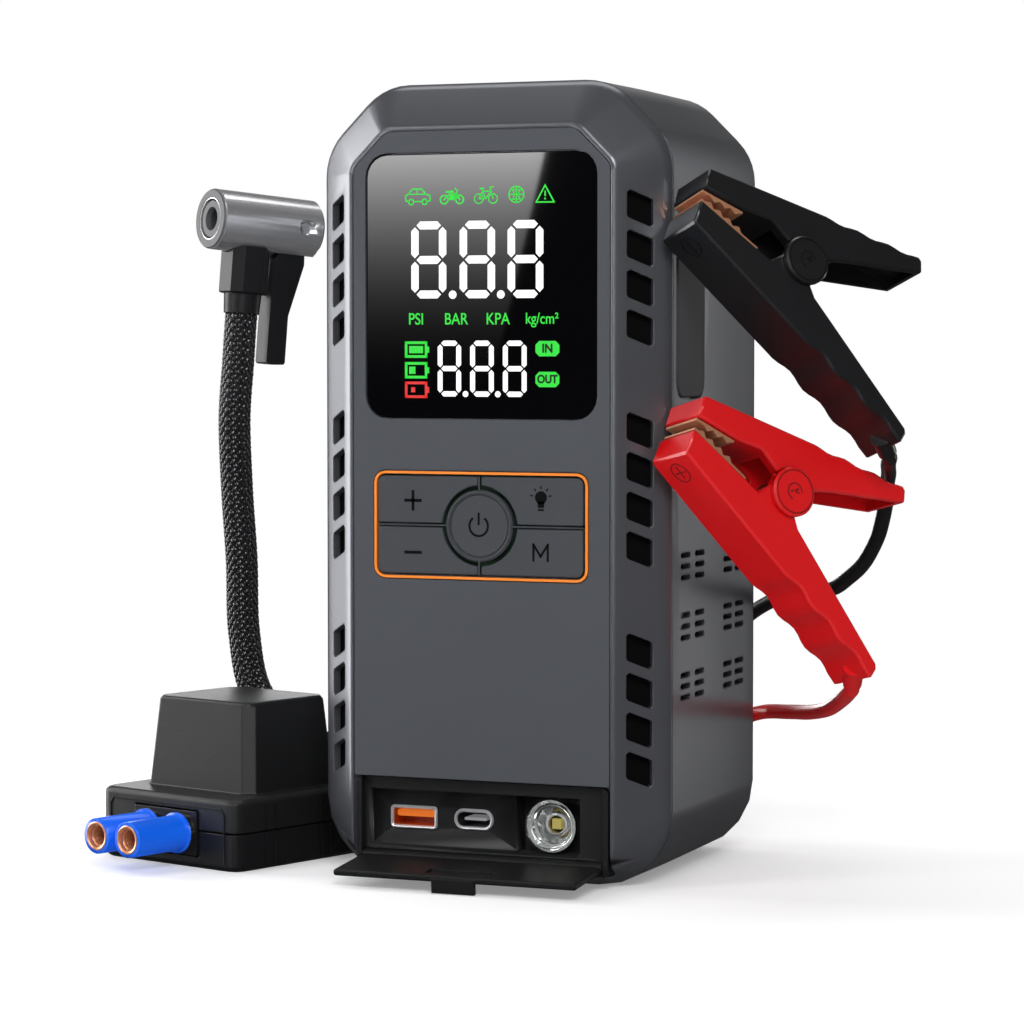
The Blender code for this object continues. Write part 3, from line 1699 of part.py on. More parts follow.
def upper_outline():
    """Side view of the upper arm in its own frame: jaw at -x, handle at +x, palm side above."""
    tip, end, back = -UPPER_TIP, UPPER_END, UPPER_BACK
    ear = arc(0.0, 0.0, INNER_EAR_RADIUS, 28, -218, 12)
    points = [(tip, back - 0.0006), (tip - 0.0006, 0.0090), (-0.0200, 0.0076), (-0.0118, 0.0080)]
    points += list(reversed(ear))
    points += [(0.0145, 0.0058), (end + 0.0006, 0.0118), (end, back - 0.0006)]
    steps = 5 * SCALLOP_COUNT
    start = 0.0050
    pitch = (end - start - 0.0010) / SCALLOP_COUNT
    for step in range(steps + 1):
        run = pitch * SCALLOP_COUNT * (1 - step / steps)
        dip = 0.0007 * math.sin(math.pi * run / pitch) ** 2
        points.append((start + run, back + 0.0003 - dip))
    return points


def clamp_box(name, x_low, x_high, y_low, y_high, half_width):
    return box(name, (x_low, y_low, -half_width), (x_high, y_high, half_width), CUTTERS)


def make_lower_arm(color, leave, material):
    half = CLAMP_WIDTH / 2
    name = "clamp_%s_lower" % color
    arm = bevel(prism(name, [lower_outline()], -half, half), 0.0006)
    inner = half - CLAMP_WALL
    pocket = clamp_box(
        name + "_pocket", -0.0105, LOWER_END - 0.0040, -LOWER_BACK + 0.0030, EAR_RADIUS * 2, inner
    )
    hole = cylinder(
        name + "_hole", PIVOT_RADIUS + FIT, (0, 0, -CLAMP_WIDTH), (0, 0, CLAMP_WIDTH), 16, CUTTERS
    )
    end = Vector((LOWER_END - 0.0010, (-0.0150 - LOWER_BACK) / 2, 0.0))
    boot = cylinder(
        name + "_boot",
        BOOT_RADIUS,
        end - leave * 0.0030,
        end + leave * BOOT_LENGTH,
        16,
        CUTTERS,
        BOOT_RADIUS - 0.0004,
    )
    cut(arm, pocket)
    join(arm, boot)
    cut(arm, hole)
    shaded(arm, material)
    return arm, [pocket, hole, boot], end + leave * (BOOT_LENGTH + FIT)


def make_upper_arm(color, material):
    half = CLAMP_WIDTH / 2
    name = "clamp_%s_upper" % color
    arm = bevel(prism(name, [upper_outline()], -half, half), 0.0006)
    inner = half - CLAMP_WALL
    ear_outer = inner - FIT
    ear_inner = ear_outer - CLAMP_WALL
    roof = UPPER_BACK - CLAMP_WALL - 0.0004
    handle = clamp_box(name + "_handle", 0.0095, UPPER_END - 0.0015, -0.02, roof, inner)
    middle = clamp_box(name + "_middle", -0.0100, 0.0105, -0.02, roof, ear_inner)
    hole = cylinder(
        name + "_hole", PIVOT_RADIUS + FIT, (0, 0, -CLAMP_WIDTH), (0, 0, CLAMP_WIDTH), 16, CUTTERS
    )
    reliefs = [
        cylinder(
            name + "_relief_%d" % (side + 1),
            EAR_RADIUS + 2.5 * FIT,
            (0, 0, side * ear_outer),
            (0, 0, side * CLAMP_WIDTH),
            28,
            CUTTERS,
        )
        for side in (-1, 1)
    ]
    cut(arm, handle, middle, *reliefs, hole)
    shaded(arm, material)
    return arm, [handle, middle, hole, *reliefs]


def jaw_plate(name, face_from, face_to, sign, lead, material):
    """A copper jaw plate lying on a jaw face, with a row of teeth towards the other jaw."""
    start, end = Vector(face_from), Vector(face_to)
    run = (end - start).normalized()
    out = Vector((-run.y, run.x)) * sign
    length = (end - start).length
    points = [start + out * FIT, start + out * (FIT + JAW_PLATE)]
    for index in range(TOOTH_COUNT):
        root = lead + index * TOOTH_PITCH
        if root + TOOTH_PITCH > length:
            break
        points.append(start + run * root + out * (FIT + JAW_PLATE))
        points.append(start + run * (root + TOOTH_PITCH / 2) + out * (FIT + JAW_PLATE + TOOTH_HEIGHT))
        points.append(start + run * (root + TOOTH_PITCH * 0.96) + out * (FIT + JAW_PLATE))
    points.append(end + out * (FIT + JAW_PLATE))
    points.append(end + out * FIT)
    outline = [(point.x, point.y) for point in points]
    half = CLAMP_WIDTH / 2 - 0.0012
    return shaded(prism(name, [outline], -half, half), material)


def spring_points():
    """The coil about the pivot, with a leg into each handle."""
    per_turn = 9
    steps = SPRING_TURNS * per_turn + 4
    height = SPRING_PITCH * steps / per_turn
    points = []
    for step in range(steps + 1):
        turn = math.radians(-95) + math.tau * step / per_turn
        z = -height / 2 + SPRING_PITCH * step / per_turn
        points.append(
            Vector((SPRING_RADIUS * math.cos(turn), SPRING_RADIUS * math.sin(turn), z))
        )
    first, last = points[0], points[-1]
    low_leg = [first + Vector((SPRING_LEG * share, -0.0044 * share, 0.0)) for share in (1.0, 0.5)]
    turn = math.radians(-95) + math.tau * steps / per_turn
    tangent = Vector((-math.sin(turn), math.cos(turn), 0.0))
    high_leg = [last + tangent * (SPRING_LEG * share) for share in (0.5, 1.0)]
    points = low_leg + points + high_leg
    return points


def least_gap(points, wire, skip):
    """The least clear distance between turns of a wire that are not neighbours on it."""
    gap = min(
        (points[i] - points[j]).length
        for i in range(len(points))
        for j in range(i + skip, len(points))
    )
    return gap - wire


def make_spring(color, material):
    points = spring_points()
    name = "clamp_%s_spring" % color
    print(name, "least gap", round(least_gap(points, SPRING_WIRE, 5), 5))
    return shaded(tube(name, points, SPRING_WIRE / 2, 1), material, 60.0)


def make_pivot(color, material):
    """The pivot: a pin with a flat round head on each side of the clamp."""
    half = CLAMP_WIDTH / 2 + FIT
    top = half + DISC_THICKNESS
    profile = [
        (0.0, top),
        (DISC_RADIUS - 0.0005, top),
        (DISC_RADIUS, top - 0.0005),
        (DISC_RADIUS, half),
        (PIVOT_RADIUS, half),
        (PIVOT_RADIUS, -half),
        (DISC_RADIUS, -half),
        (DISC_RADIUS, -top + 0.0005),
        (DISC_RADIUS - 0.0005, -top),
        (0.0, -top),
    ]
    return shaded(turned("clamp_%s_pivot" % color, profile, Matrix.Identity(4), 28), material)


def make_clamp(color, finish_of):
    place, turn = CLAMPS[color]
    base = link(bpy.data.objects.new("clamp_%s" % color, None), PARTS)
    base.location = place
    base.rotation_euler = [math.radians(angle) for angle in turn]
    hinge = link(bpy.data.objects.new("clamp_%s_hinge" % color, None), PARTS)
    hinge.parent = base
    hinge.rotation_euler = (0.0, 0.0, math.radians(CLAMP_OPEN_ANGLE))
    bpy.context.view_layer.update()
    leave = base.matrix_world.to_3x3().transposed() @ Vector(CABLE_LEAVES[color]).normalized()
    body = finish_of["clamp_" + color]
    arm, tools, cable_end = make_lower_arm(color, leave, body)
    fixed = [arm, *tools]
    moving = []
    upper, tools = make_upper_arm(color, body)
    moving += [upper, *tools]
    tip, lean = -LOWER_TIP, 0.0029 / (LOWER_TIP - 0.0075)
    low_from = (tip + 0.0002, -0.0107)
    low_to = (tip + JAW_LENGTH, -0.0107 + lean * JAW_LENGTH)
    fixed.append(jaw_plate("jaw_%s_lower" % color, low_from, low_to, 1, 0.0010, finish_of["copper"]))
    high_from = (-UPPER_TIP - 0.0004, 0.0090)
    high_to = (-UPPER_TIP - 0.0004 + 0.0132, 0.0076)
    moving.append(
        jaw_plate(
            "jaw_%s_upper" % color, high_from, high_to, -1, 0.0010 + TOOTH_PITCH / 2, finish_of["copper"]
        )
    )
    fixed.append(make_spring(color, finish_of["steel"]))
    fixed.append(make_pivot(color, body))
    for piece in fixed:
        piece.parent = base
    for piece in moving:
        piece.parent = hinge
    return base.matrix_world @ cable_end


def make_cable(color, route, far_end, material):
    """One jumper cable, from the module's grommet to its clamp."""
    exit_point = cable_exit(color) - Vector((GROMMET_LENGTH + FIT, 0.0, 0.0))
    start = module_frame() @ exit_point
    leave = module_frame().to_3x3() @ Vector((-1.0, 0.0, 0.0))
    arrive = -Vector(CABLE_LEAVES[color]).normalized()
    ends = (start, leave, far_end, arrive)
    points, length = run_of(route, ends, CABLE_DIAMETER, 2.2)
    print("cable_%s length" % color, round(length, 4))
    return shaded(tube("cable_" + color, points, CABLE_DIAMETER / 2, 2), material)


# ---- assembly ----
def finishes():
    return {
        "bezel": finish("satin_grey", 0.085, 0.088, 0.098, 0.34, 0.35),
        "panel": finish("matt_grey", 0.062, 0.065, 0.073, 0.62),
        "black": finish("black_plastic", 0.012, 0.012, 0.013, 0.48),
        "grille": finish("vent_black", 0.004, 0.004, 0.005, 0.80),
        "lens": finish("display_black", 0.004, 0.004, 0.005, 0.08),
        "board": finish("board_green", 0.010, 0.060, 0.025, 0.55),
        "key": finish("key_grey", 0.050, 0.053, 0.060, 0.66),
        "orange": finish("orange_trim", 0.900, 0.250, 0.020, 0.45),
        "port": finish("port_metal", 0.600, 0.600, 0.620, 0.28, 1.0),
        "port_orange": finish("port_orange", 0.900, 0.200, 0.020, 0.45),
        "chrome": finish("lamp_chrome", 0.750, 0.750, 0.760, 0.12, 1.0),
        "clear": finish("clear_lens", 0.850, 0.880, 0.880, 0.05),
        "led": finish("led_yellow", 0.900, 0.780, 0.250, 0.40),
        "rubber": finish("grey_rubber", 0.040, 0.041, 0.045, 0.75),
        "blue_cell": finish("battery_wrap", 0.020, 0.120, 0.300, 0.45),
        "steel": finish("spring_steel", 0.420, 0.420, 0.430, 0.30, 1.0),
        "satin_metal": finish("chuck_metal", 0.620, 0.620, 0.630, 0.26, 1.0),
        "braid": finish("hose_braid", 0.010, 0.010, 0.011, 0.45),
        "plug_blue": finish("plug_blue", 0.005, 0.130, 0.780, 0.38),
        "copper": finish("copper", 0.780, 0.360, 0.170, 0.28, 1.0),
        "clamp_black": finish("clamp_black", 0.014, 0.014, 0.015, 0.50),
        "clamp_red": finish("clamp_red", 0.700, 0.012, 0.015, 0.36),
        "cable_black": finish("cable_black", 0.010, 0.010, 0.010, 0.42),
        "cable_red": finish("cable_red", 0.720, 0.010, 0.012, 0.34),
    }


def make_unit(finish_of):
    make_front_shell(finish_of["bezel"])
    make_back_shell(finish_of["bezel"])
    make_grille(1, finish_of["grille"])
    make_grille(-1, finish_of["grille"])
    make_front_panel(finish_of["panel"])
    make_display_lens(finish_of["lens"])
    make_display_board(finish_of["board"])
    make_key_trim(finish_of["orange"])
    make_corner_key("key_plus", -1, 1, finish_of["key"])
    make_corner_key("key_minus", -1, -1, finish_of["key"])
    make_corner_key("key_light", 1, 1, finish_of["key"])
    make_corner_key("key_mode", 1, -1, finish_of["key"])
    make_power_key(finish_of["key"])
    make_port_bay(finish_of["black"])
    usb_a, usb_c = port_rows()
    make_port_shell(usb_a, finish_of["port"])
    make_port_shell(usb_c, finish_of["port"])
    make_port_tongue(usb_a, 0.0112, 0.0018, 0.0009, finish_of["port_orange"])
    make_port_tongue(usb_c, 0.0066, 0.0008, 0.0, finish_of["black"])
    make_lamp(finish_of["chrome"], finish_of["clear"], finish_of["led"])
    make_port_cover(finish_of["black"])
    make_cover_pin(finish_of["steel"])
    make_jump_socket(finish_of["black"])
    make_jump_cover(finish_of["rubber"])
    make_battery(finish_of["blue_cell"])
    make_main_board(finish_of["board"])
    make_pump(finish_of["steel"], finish_of["satin_metal"])
    make_air_outlet(finish_of["steel"])


def make_air_line(finish_of):
    make_hose_nut(finish_of["black"])
    make_hose(finish_of["braid"])
    make_chuck_body(finish_of["satin_metal"])
    make_chuck_seal(finish_of["rubber"])
    make_chuck_sleeve(finish_of["black"])
    make_chuck_lever(finish_of["black"], finish_of["steel"])


def make_jumper_lead(finish_of):
    make_module(finish_of["black"], finish_of["black"])
    make_plug(finish_of["plug_blue"], finish_of["copper"])
    make_grommet(finish_of["rubber"])
    black_end = make_clamp("black", finish_of)
    red_end = make_clamp("red", finish_of)
    make_cable("black", BLACK_ROUTE, black_end, finish_of["cable_black"])
    make_cable("red", RED_ROUTE, red_end, finish_of["cable_red"])


def main():
    clear_scene()
    finish_of = finishes()
    make_unit(finish_of)
    make_air_line(finish_of)
    make_jumper_lead(finish_of)


main()
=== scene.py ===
"""Looks of the jump starter pack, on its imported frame, with its studio."""

import json
import math

import bmesh
import bpy
from mathutils import Matrix, Vector
from mathutils.bvhtree import BVHTree


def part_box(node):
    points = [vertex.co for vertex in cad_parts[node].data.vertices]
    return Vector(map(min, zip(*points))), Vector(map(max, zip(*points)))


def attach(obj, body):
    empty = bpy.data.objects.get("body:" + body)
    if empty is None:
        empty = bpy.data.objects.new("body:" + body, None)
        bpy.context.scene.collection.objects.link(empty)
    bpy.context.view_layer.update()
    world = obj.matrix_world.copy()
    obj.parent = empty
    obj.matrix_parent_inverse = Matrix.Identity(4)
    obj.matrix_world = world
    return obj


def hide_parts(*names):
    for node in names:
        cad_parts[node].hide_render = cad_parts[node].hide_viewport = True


bl_info = {
    "name": "Jump starter pack looks",
    "version": (1, 0, 0),
    "blender": (4, 5, 0),
    "location": "View3D > Sidebar > Pack",
    "description": "Finishes a jump starter pack on its packed frame",
    "category": "Object",
}

MM = 0.001
QUARTER = math.radians(90)

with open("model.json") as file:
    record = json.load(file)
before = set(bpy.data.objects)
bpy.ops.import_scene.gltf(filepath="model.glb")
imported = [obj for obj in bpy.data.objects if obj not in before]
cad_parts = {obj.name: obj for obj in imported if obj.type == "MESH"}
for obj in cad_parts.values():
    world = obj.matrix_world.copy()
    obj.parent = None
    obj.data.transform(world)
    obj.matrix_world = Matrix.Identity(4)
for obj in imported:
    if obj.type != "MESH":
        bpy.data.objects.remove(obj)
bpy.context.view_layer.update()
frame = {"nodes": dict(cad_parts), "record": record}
NODE_BODY = {
    node: body
    for body, nodes in frame["record"]["behaviour"]["bodies"].items()
    for node in nodes
}

# Ends and directions of the cords, and their routes, point by point as the solids have them.
HOSE_DIAMETER = 0.0100
HOSE_ENDS = ((-0.0653, 0.0390, 0.0250), (-0.107137, 0.036017, 0.158102))
HOSE_WAYS = ((-1.0, 0.0, 0.0), (0.047765, 0.070814, 0.996345))
HOSE_ROUTE = (
    (-0.0700, 0.0390, 0.0250), (-0.0895, 0.0390, 0.0290), (-0.1035, 0.0388, 0.0420),
    (-0.1078, 0.0384, 0.0610), (-0.1080, 0.0374, 0.0830), (-0.1087, 0.0359, 0.1040),
    (-0.1087, 0.0343, 0.1260), (-0.1078, 0.0350, 0.1430),
)
CABLE_DIAMETER = 0.0043
MODULE_BACK = (0.309017, 0.951057, 0.0)
BLACK_ENDS = ((-0.082589, 0.026961, 0.0080), (0.105484, 0.003902, 0.119448))
BLACK_WAYS = (MODULE_BACK, (-0.029987, -0.799640, 0.599730))
BLACK_ROUTE = (
    (-0.0752, 0.0385, 0.0068), (-0.0700, 0.0500, 0.0040), (-0.0600, 0.0620, 0.0026),
    (-0.0460, 0.0710, 0.0024), (-0.0300, 0.0735, 0.0024), (-0.0130, 0.0735, 0.0032),
    (0.0020, 0.0725, 0.0090), (0.0140, 0.0715, 0.0220), (0.0230, 0.0705, 0.0380),
    (0.0320, 0.0690, 0.0540), (0.0430, 0.0665, 0.0665), (0.0540, 0.0630, 0.0735),
    (0.0650, 0.0575, 0.0765), (0.0752, 0.0519, 0.0781), (0.0815, 0.0480, 0.0818),
    (0.0871, 0.0449, 0.0865), (0.0915, 0.0424, 0.0933), (0.0945, 0.0376, 0.0990),
    (0.0972, 0.0322, 0.1055), (0.0990, 0.0265, 0.1102), (0.1014, 0.0195, 0.1134),
    (0.1032, 0.0125, 0.1160),
)
BLACK_LENGTH = 0.2932
RED_ENDS = ((-0.074030, 0.024180, 0.0080), (0.095685, 0.004009, 0.055600))
RED_WAYS = (MODULE_BACK, (0.249875, -0.679660, 0.689655))
RED_ROUTE = (
    (-0.0668, 0.0365, 0.0068), (-0.0615, 0.0490, 0.0040), (-0.0500, 0.0605, 0.0026),
    (-0.0350, 0.0650, 0.0024), (-0.0170, 0.0655, 0.0024), (0.0000, 0.0650, 0.0040),
    (0.0140, 0.0650, 0.0130), (0.0260, 0.0655, 0.0250), (0.0380, 0.0655, 0.0350),
    (0.0500, 0.0635, 0.0400), (0.0626, 0.0530, 0.0418), (0.0720, 0.0420, 0.0432),
    (0.0810, 0.0300, 0.0457), (0.0885, 0.0185, 0.0497),
)
RED_LENGTH = 0.2365

# Places of the clamps, the module and the chuck, as the solids have them.
CLAMPS = {
    "black": ((0.0803, -0.0078, 0.1689), (63.8, 45.2, 33.7)),
    "red": ((0.077, -0.0098, 0.1074), (71.8, 48.4, 41.3)),
}
CLAMP_WIDTH = 0.0165
PIVOT_HEAD = 0.00685
PIVOT_RISE = 0.0019
MODULE_PLACE = (-0.0886, -0.0061, 0.0)
MODULE_HEADING = -108.0
MODULE_LENGTH = 0.056
MODULE_WIDTH = 0.056
PLUG_SPACING = 0.0125
PLUG_Z = 0.01
PLUG_PLATE = 0.0021
CHUCK_PLACE = (-0.1058, 0.038, 0.186)
CHUCK_HEADING = 236.0
CHUCK_TILT = 4.9
CHUCK_MOUTH = 0.013


# ---- settings ----
class StudioSettings(bpy.types.PropertyGroup):
    azimuth: bpy.props.FloatProperty(
        name="Azimuth",
        description="Direction of the view, from the front towards the right side",
        default=math.radians(22.0),
        unit="ROTATION",
    )
    pitch: bpy.props.FloatProperty(
        name="Pitch",
        description="How far the view looks down",
        default=math.radians(2.88),
        unit="ROTATION",
    )
    eye: bpy.props.FloatVectorProperty(
        name="Eye",
        description="Place of the camera",
        default=(0.3573, -0.8933, 0.15),
        subtype="TRANSLATION",
        unit="LENGTH",
    )
    lens: bpy.props.FloatProperty(
        name="Lens",
        description="Focal length in millimetres on a 36 mm sensor",
        default=119.3,
    )


def color_setting(name, description, default):
    return bpy.props.FloatVectorProperty(
        name=name, description=description, default=default, subtype="COLOR"
    )


class FinishSettings(bpy.types.PropertyGroup):
    shell: color_setting("Shell", "Colour of the satin grey shells", (0.118, 0.122, 0.136))
    panel: color_setting("Panel", "Colour of the matt front panel", (0.056, 0.061, 0.072))
    black: color_setting("Black", "Colour of the black mouldings", (0.0075, 0.0077, 0.0086))
    red: color_setting("Red", "Colour of the red clamp", (0.6, 0.004, 0.006))
    blue: color_setting("Blue", "Colour of the plug", (0.002, 0.13, 0.86))
    orange: color_setting("Orange", "Colour of the trim round the keys", (0.8, 0.215, 0.016))


class DisplaySettings(bpy.types.PropertyGroup):
    lit: color_setting("Digits", "Colour of the lit digits", (0.92, 0.93, 0.93))
    green: color_setting("Green", "Colour of the green signs", (0.018, 0.6, 0.035))
    red: color_setting("Red", "Colour of the low battery sign", (0.62, 0.016, 0.016))


# ---- nodes of a material ----
WHITE = (1.0, 1.0, 1.0, 1.0)
BLACK = (0.0, 0.0, 0.0, 1.0)
SHADOW_BLACK = (0.008, 0.008, 0.009, 1.0)


def nodes_of(made):
    made.use_nodes = True
    tree = made.node_tree
    return tree, tree.nodes["Principled BSDF"]


def feed(tree, node, inputs):
    """Links each input to a socket, or sets it to a value."""
    for name, value in inputs.items():
        if isinstance(value, bpy.types.NodeSocket):
            tree.links.new(value, node.inputs[name])
        else:
            node.inputs[name].default_value = value


def add_node(tree, kind, inputs=None, **options):
    node = tree.nodes.new("ShaderNode" + kind)
    for option, value in options.items():
        setattr(node, option, value)
    feed(tree, node, inputs or {})
    return node


def calculated(tree, operation, *values):
    """The result of a sum of sockets and numbers."""
    return add_node(tree, "Math", dict(enumerate(values)), operation=operation).outputs[0]


def faded(tree, value, start, end, low=0.0, high=1.0, way="SMOOTHSTEP"):
    """Goes from low to high while the value goes from start to end."""
    inputs = {"Value": value, "From Min": start, "From Max": end, "To Min": low, "To Max": high}
    return add_node(tree, "MapRange", inputs, interpolation_type=way).outputs["Result"]


# ---- finishes ----
# By name: colour (or the setting that has it), roughness and its drift, drift of the colour,
# grain, relief, metal, coat, radius of the rounded edges, and how the grain is stretched.
FINISHES = {
    "shell_satin": ("shell", 0.3, 0.04, 0.05, 2600.0, 0.1, 0.62, 0.15, 0.0006),
    "panel_matt": ("panel", 0.56, 0.05, 0.06, 3200.0, 0.22, 0.1, 0.0, 0.0003),
    "key_silicone": ((0.04, 0.044, 0.052), 0.62, 0.05, 0.06, 2400.0, 0.18, 0.0, 0.0, 0.0003),
    "key_ink": ((0.0012, 0.0012, 0.0016), 0.7, 0.05, 0.1, 900.0, 0.1),
    "orange_trim": ("orange", 0.38, 0.05, 0.05, 1500.0, 0.1, 0.0, 0.1),
    "black_moulding": ("black", 0.4, 0.06, 0.14, 2200.0, 0.3, 0.0, 0.0, 0.0003),
    "cover_black": ("black", 0.46, 0.06, 0.14, 2200.0, 0.4, 0.0, 0.0, 0.0004),
    "textured_black": (
        (0.008, 0.0082, 0.009), 0.46, 0.08, 0.22, 1300.0, 0.75, 0.0, 0.0, 0.0004
    ),
    # Vent strips: their own black, darkened further as painted shade inside the windows of the
    # flanks.
    "vent_black": ((0.0012, 0.0012, 0.0015), 0.8, 0.05, 0.2, 900.0, 0.2),
    "grey_rubber": ((0.034, 0.036, 0.041), 0.66, 0.05, 0.1, 2000.0, 0.25, 0.0, 0.0, 0.0004),
    "spring_steel": ((0.46, 0.46, 0.47), 0.24, 0.07, 0.1, 900.0, 0.1, 1.0),
    "chuck_metal": (
        (0.8, 0.8, 0.82), 0.25, 0.03, 0.02, 900.0, 0.01, 0.84, 0.0, 0.0, (1.0, 1.0, 8.0)
    ),
    "mouth_satin": ((0.1, 0.1, 0.105), 0.55, 0.05, 0.08, 900.0, 0.1, 0.3),
    "chrome": ((0.8, 0.8, 0.81), 0.1, 0.04, 0.04, 700.0, 0.03, 1.0),
    "copper": ((0.9, 0.43, 0.24), 0.3, 0.08, 0.14, 800.0, 0.12, 0.72, 0.0, 0.0002),
    "plug_blue": ("blue", 0.3, 0.05, 0.05, 900.0, 0.06, 0.0, 0.1, 0.0004),
    "clamp_red": ("red", 0.32, 0.05, 0.06, 1500.0, 0.12, 0.0, 0.2, 0.00022),
    "clamp_black": (
        (0.008, 0.0082, 0.0092), 0.36, 0.06, 0.14, 1500.0, 0.25, 0.0, 0.2, 0.00022
    ),
    # Clamp marks: darker than the clamp, as painted shade of engraved lines.
    "mark_red": ((0.2, 0.002, 0.003), 0.45, 0.05, 0.08, 900.0, 0.1),
    "mark_black": ((0.002, 0.002, 0.0024), 0.45, 0.05, 0.08, 900.0, 0.1),
    "jacket_red": ((0.66, 0.01, 0.012), 0.3, 0.05, 0.06, 1200.0, 0.1, 0.0, 0.1),
    "jacket_black": ((0.01, 0.01, 0.011), 0.36, 0.05, 0.1, 1200.0, 0.12),
    "hose_core": ((0.004, 0.004, 0.005), 0.6, 0.05, 0.1, 900.0, 0.1),
    "hose_braid": ((0.01, 0.01, 0.011), 0.17, 0.05, 0.2, 2400.0, 0.12),
    "board_green": ((0.01, 0.06, 0.025), 0.5, 0.08, 0.25, 500.0, 0.2),
    "cell_wrap": ((0.02, 0.12, 0.3), 0.4, 0.05, 0.1, 600.0, 0.1),
    "display_window": ((0.0016, 0.0016, 0.002), 0.022, 0.006, 0.05, 300.0, 0.0),
    "sign_dark": ((0.001, 0.004, 0.001), 0.6, 0.02),
    "port_metal": ((0.8, 0.8, 0.82), 0.3, 0.05, 0.05, 700.0, 0.05, 0.7),
    "port_amber": ((0.3, 0.04, 0.003), 0.3, 0.05, 0.2, 300.0, 0.1),
    "port_dark": ((0.006, 0.006, 0.007), 0.45, 0.05, 0.1, 900.0, 0.1),
    "lamp_bowl": ((0.3, 0.3, 0.3), 0.12, 0.05, 0.25, 260.0, 0.25, 1.0),
    "lamp_glass": ((0.93, 0.95, 0.94), 0.03, 0.01, 0.02, 400.0, 0.0),
    "card_black": ((0.002, 0.002, 0.002), 1.0, 0.0),
}
SHADER_INPUTS = {
    "black_moulding": {"Specular IOR Level": 0.3},
    "cover_black": {"Specular IOR Level": 0.3},
    "vent_black": {"Specular IOR Level": 0.1},
    "display_window": {"Specular IOR Level": 0.3},
    "key_ink": {"Specular IOR Level": 0.15},
    "lamp_glass": {"Transmission Weight": 1.0, "IOR": 1.12},
}
DRIFT_SHARE, GRAIN_SHARE = 0.55, 0.45
DRIFT_ENDS = (0.3, 0.7)
LEAST_ROUGHNESS = 0.02
SIGN_BODY = 0.25


def material(
    name, color, rough, rough_drift, drift=0.1, grain=1800.0, relief=0.1, metal=0.0, coat=0.0,
    edge=0.0, stretch=(1.0, 1.0, 1.0)
):
    """A slow drift of colour, a fine grain in gloss and relief, and rounded edges."""
    made = bpy.data.materials.new("finish_" + name)
    tree, shader = nodes_of(made)
    place = add_node(tree, "TexCoord").outputs["Object"]
    fitted = add_node(tree, "Mapping", {"Scale": stretch, "Vector": place}).outputs["Vector"]
    inputs = {"Scale": 26.0, "Detail": 3.0, "Vector": place}
    slow = add_node(tree, "TexNoise", inputs).outputs["Fac"]
    inputs = {"Scale": grain, "Detail": 2.0, "Vector": fitted}
    fine = add_node(tree, "TexNoise", inputs).outputs["Fac"]
    slow_share = calculated(tree, "MULTIPLY", slow, DRIFT_SHARE)
    mixed = calculated(tree, "MULTIPLY_ADD", fine, GRAIN_SHARE, slow_share)
    ramp = add_node(tree, "ValToRGB", {"Fac": mixed})
    for element, position, share in zip(ramp.color_ramp.elements, DRIFT_ENDS, (-drift, drift)):
        element.position = position
        element.color = (*[min(1.0, channel * (1.0 + share)) for channel in color], 1.0)
    least, most = max(LEAST_ROUGHNESS, rough - rough_drift), min(1.0, rough + rough_drift)
    bump = add_node(tree, "Bump", {"Strength": relief, "Distance": 0.00006, "Height": fine})
    if edge:
        rounded = add_node(tree, "Bevel", {"Radius": edge}, samples=4).outputs["Normal"]
        feed(tree, bump, {"Normal": rounded})
    inputs = {
        "Base Color": ramp.outputs["Color"],
        "Roughness": faded(tree, mixed, 0.0, 1.0, least, most, "LINEAR"),
        "Normal": bump.outputs["Normal"],
        "Metallic": metal,
        "Coat Weight": coat,
        "Coat Roughness": 0.12,
    }
    feed(tree, shader, {**inputs, **SHADER_INPUTS.get(name, {})})
    return made


def finish(name):
    """The finish of that name, made when it is first asked for."""
    color, *sizes = FINISHES[name]
    if isinstance(color, str):
        color = getattr(bpy.context.scene.pack_finish, color)
    return bpy.data.materials.get("finish_" + name) or material(name, color, *sizes)


def glow(name, color, strength=1.0):
    """A lit sign behind the window, or painted light on a part that is no lamp: its colour comes
    mostly from its own light.
    """
    body = [channel * SIGN_BODY for channel in color]
    made = material(name, body, 0.35, 0.03, 0.04, 900.0, 0.02)
    tree, shader = nodes_of(made)
    feed(tree, shader, {"Emission Color": (*color, 1.0), "Emission Strength": strength})
    return made


# ---- pieces ----
MERGE, SKIN_MERGE, TINY_MERGE = 1e-6, 2e-6, 1e-7
FLAT_ANGLE = math.radians(0.3)
SMOOTH_ANGLE = 38.0


def new_object(name, data):
    obj = bpy.data.objects.new(name, data)
    bpy.context.scene.collection.objects.link(obj)
    return obj


def mesh_from(bm, name):
    mesh = bpy.data.meshes.new(name)
    bm.to_mesh(mesh)
    bm.free()
    return mesh


def paint(obj, look):
    """Gives an object one finish, by its name or as it is."""
    obj.data.materials.clear()
    obj.data.materials.append(finish(look) if isinstance(look, str) else look)


def settle(obj, look, body, angle):
    """Paints and shades a mesh, and hands it to its body."""
    paint(obj, look)
    obj.data.shade_smooth()
    obj.data.set_sharp_from_angle(angle=math.radians(angle))
    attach(obj, body)
    return obj


def piece_from(bm, name, look, body, angle=SMOOTH_ANGLE, merge=MERGE):
    if merge:
        bmesh.ops.remove_doubles(bm, verts=bm.verts, dist=merge)
    bmesh.ops.recalc_face_normals(bm, faces=bm.faces)
    return settle(new_object(name, mesh_from(bm, name)), look, body, angle)


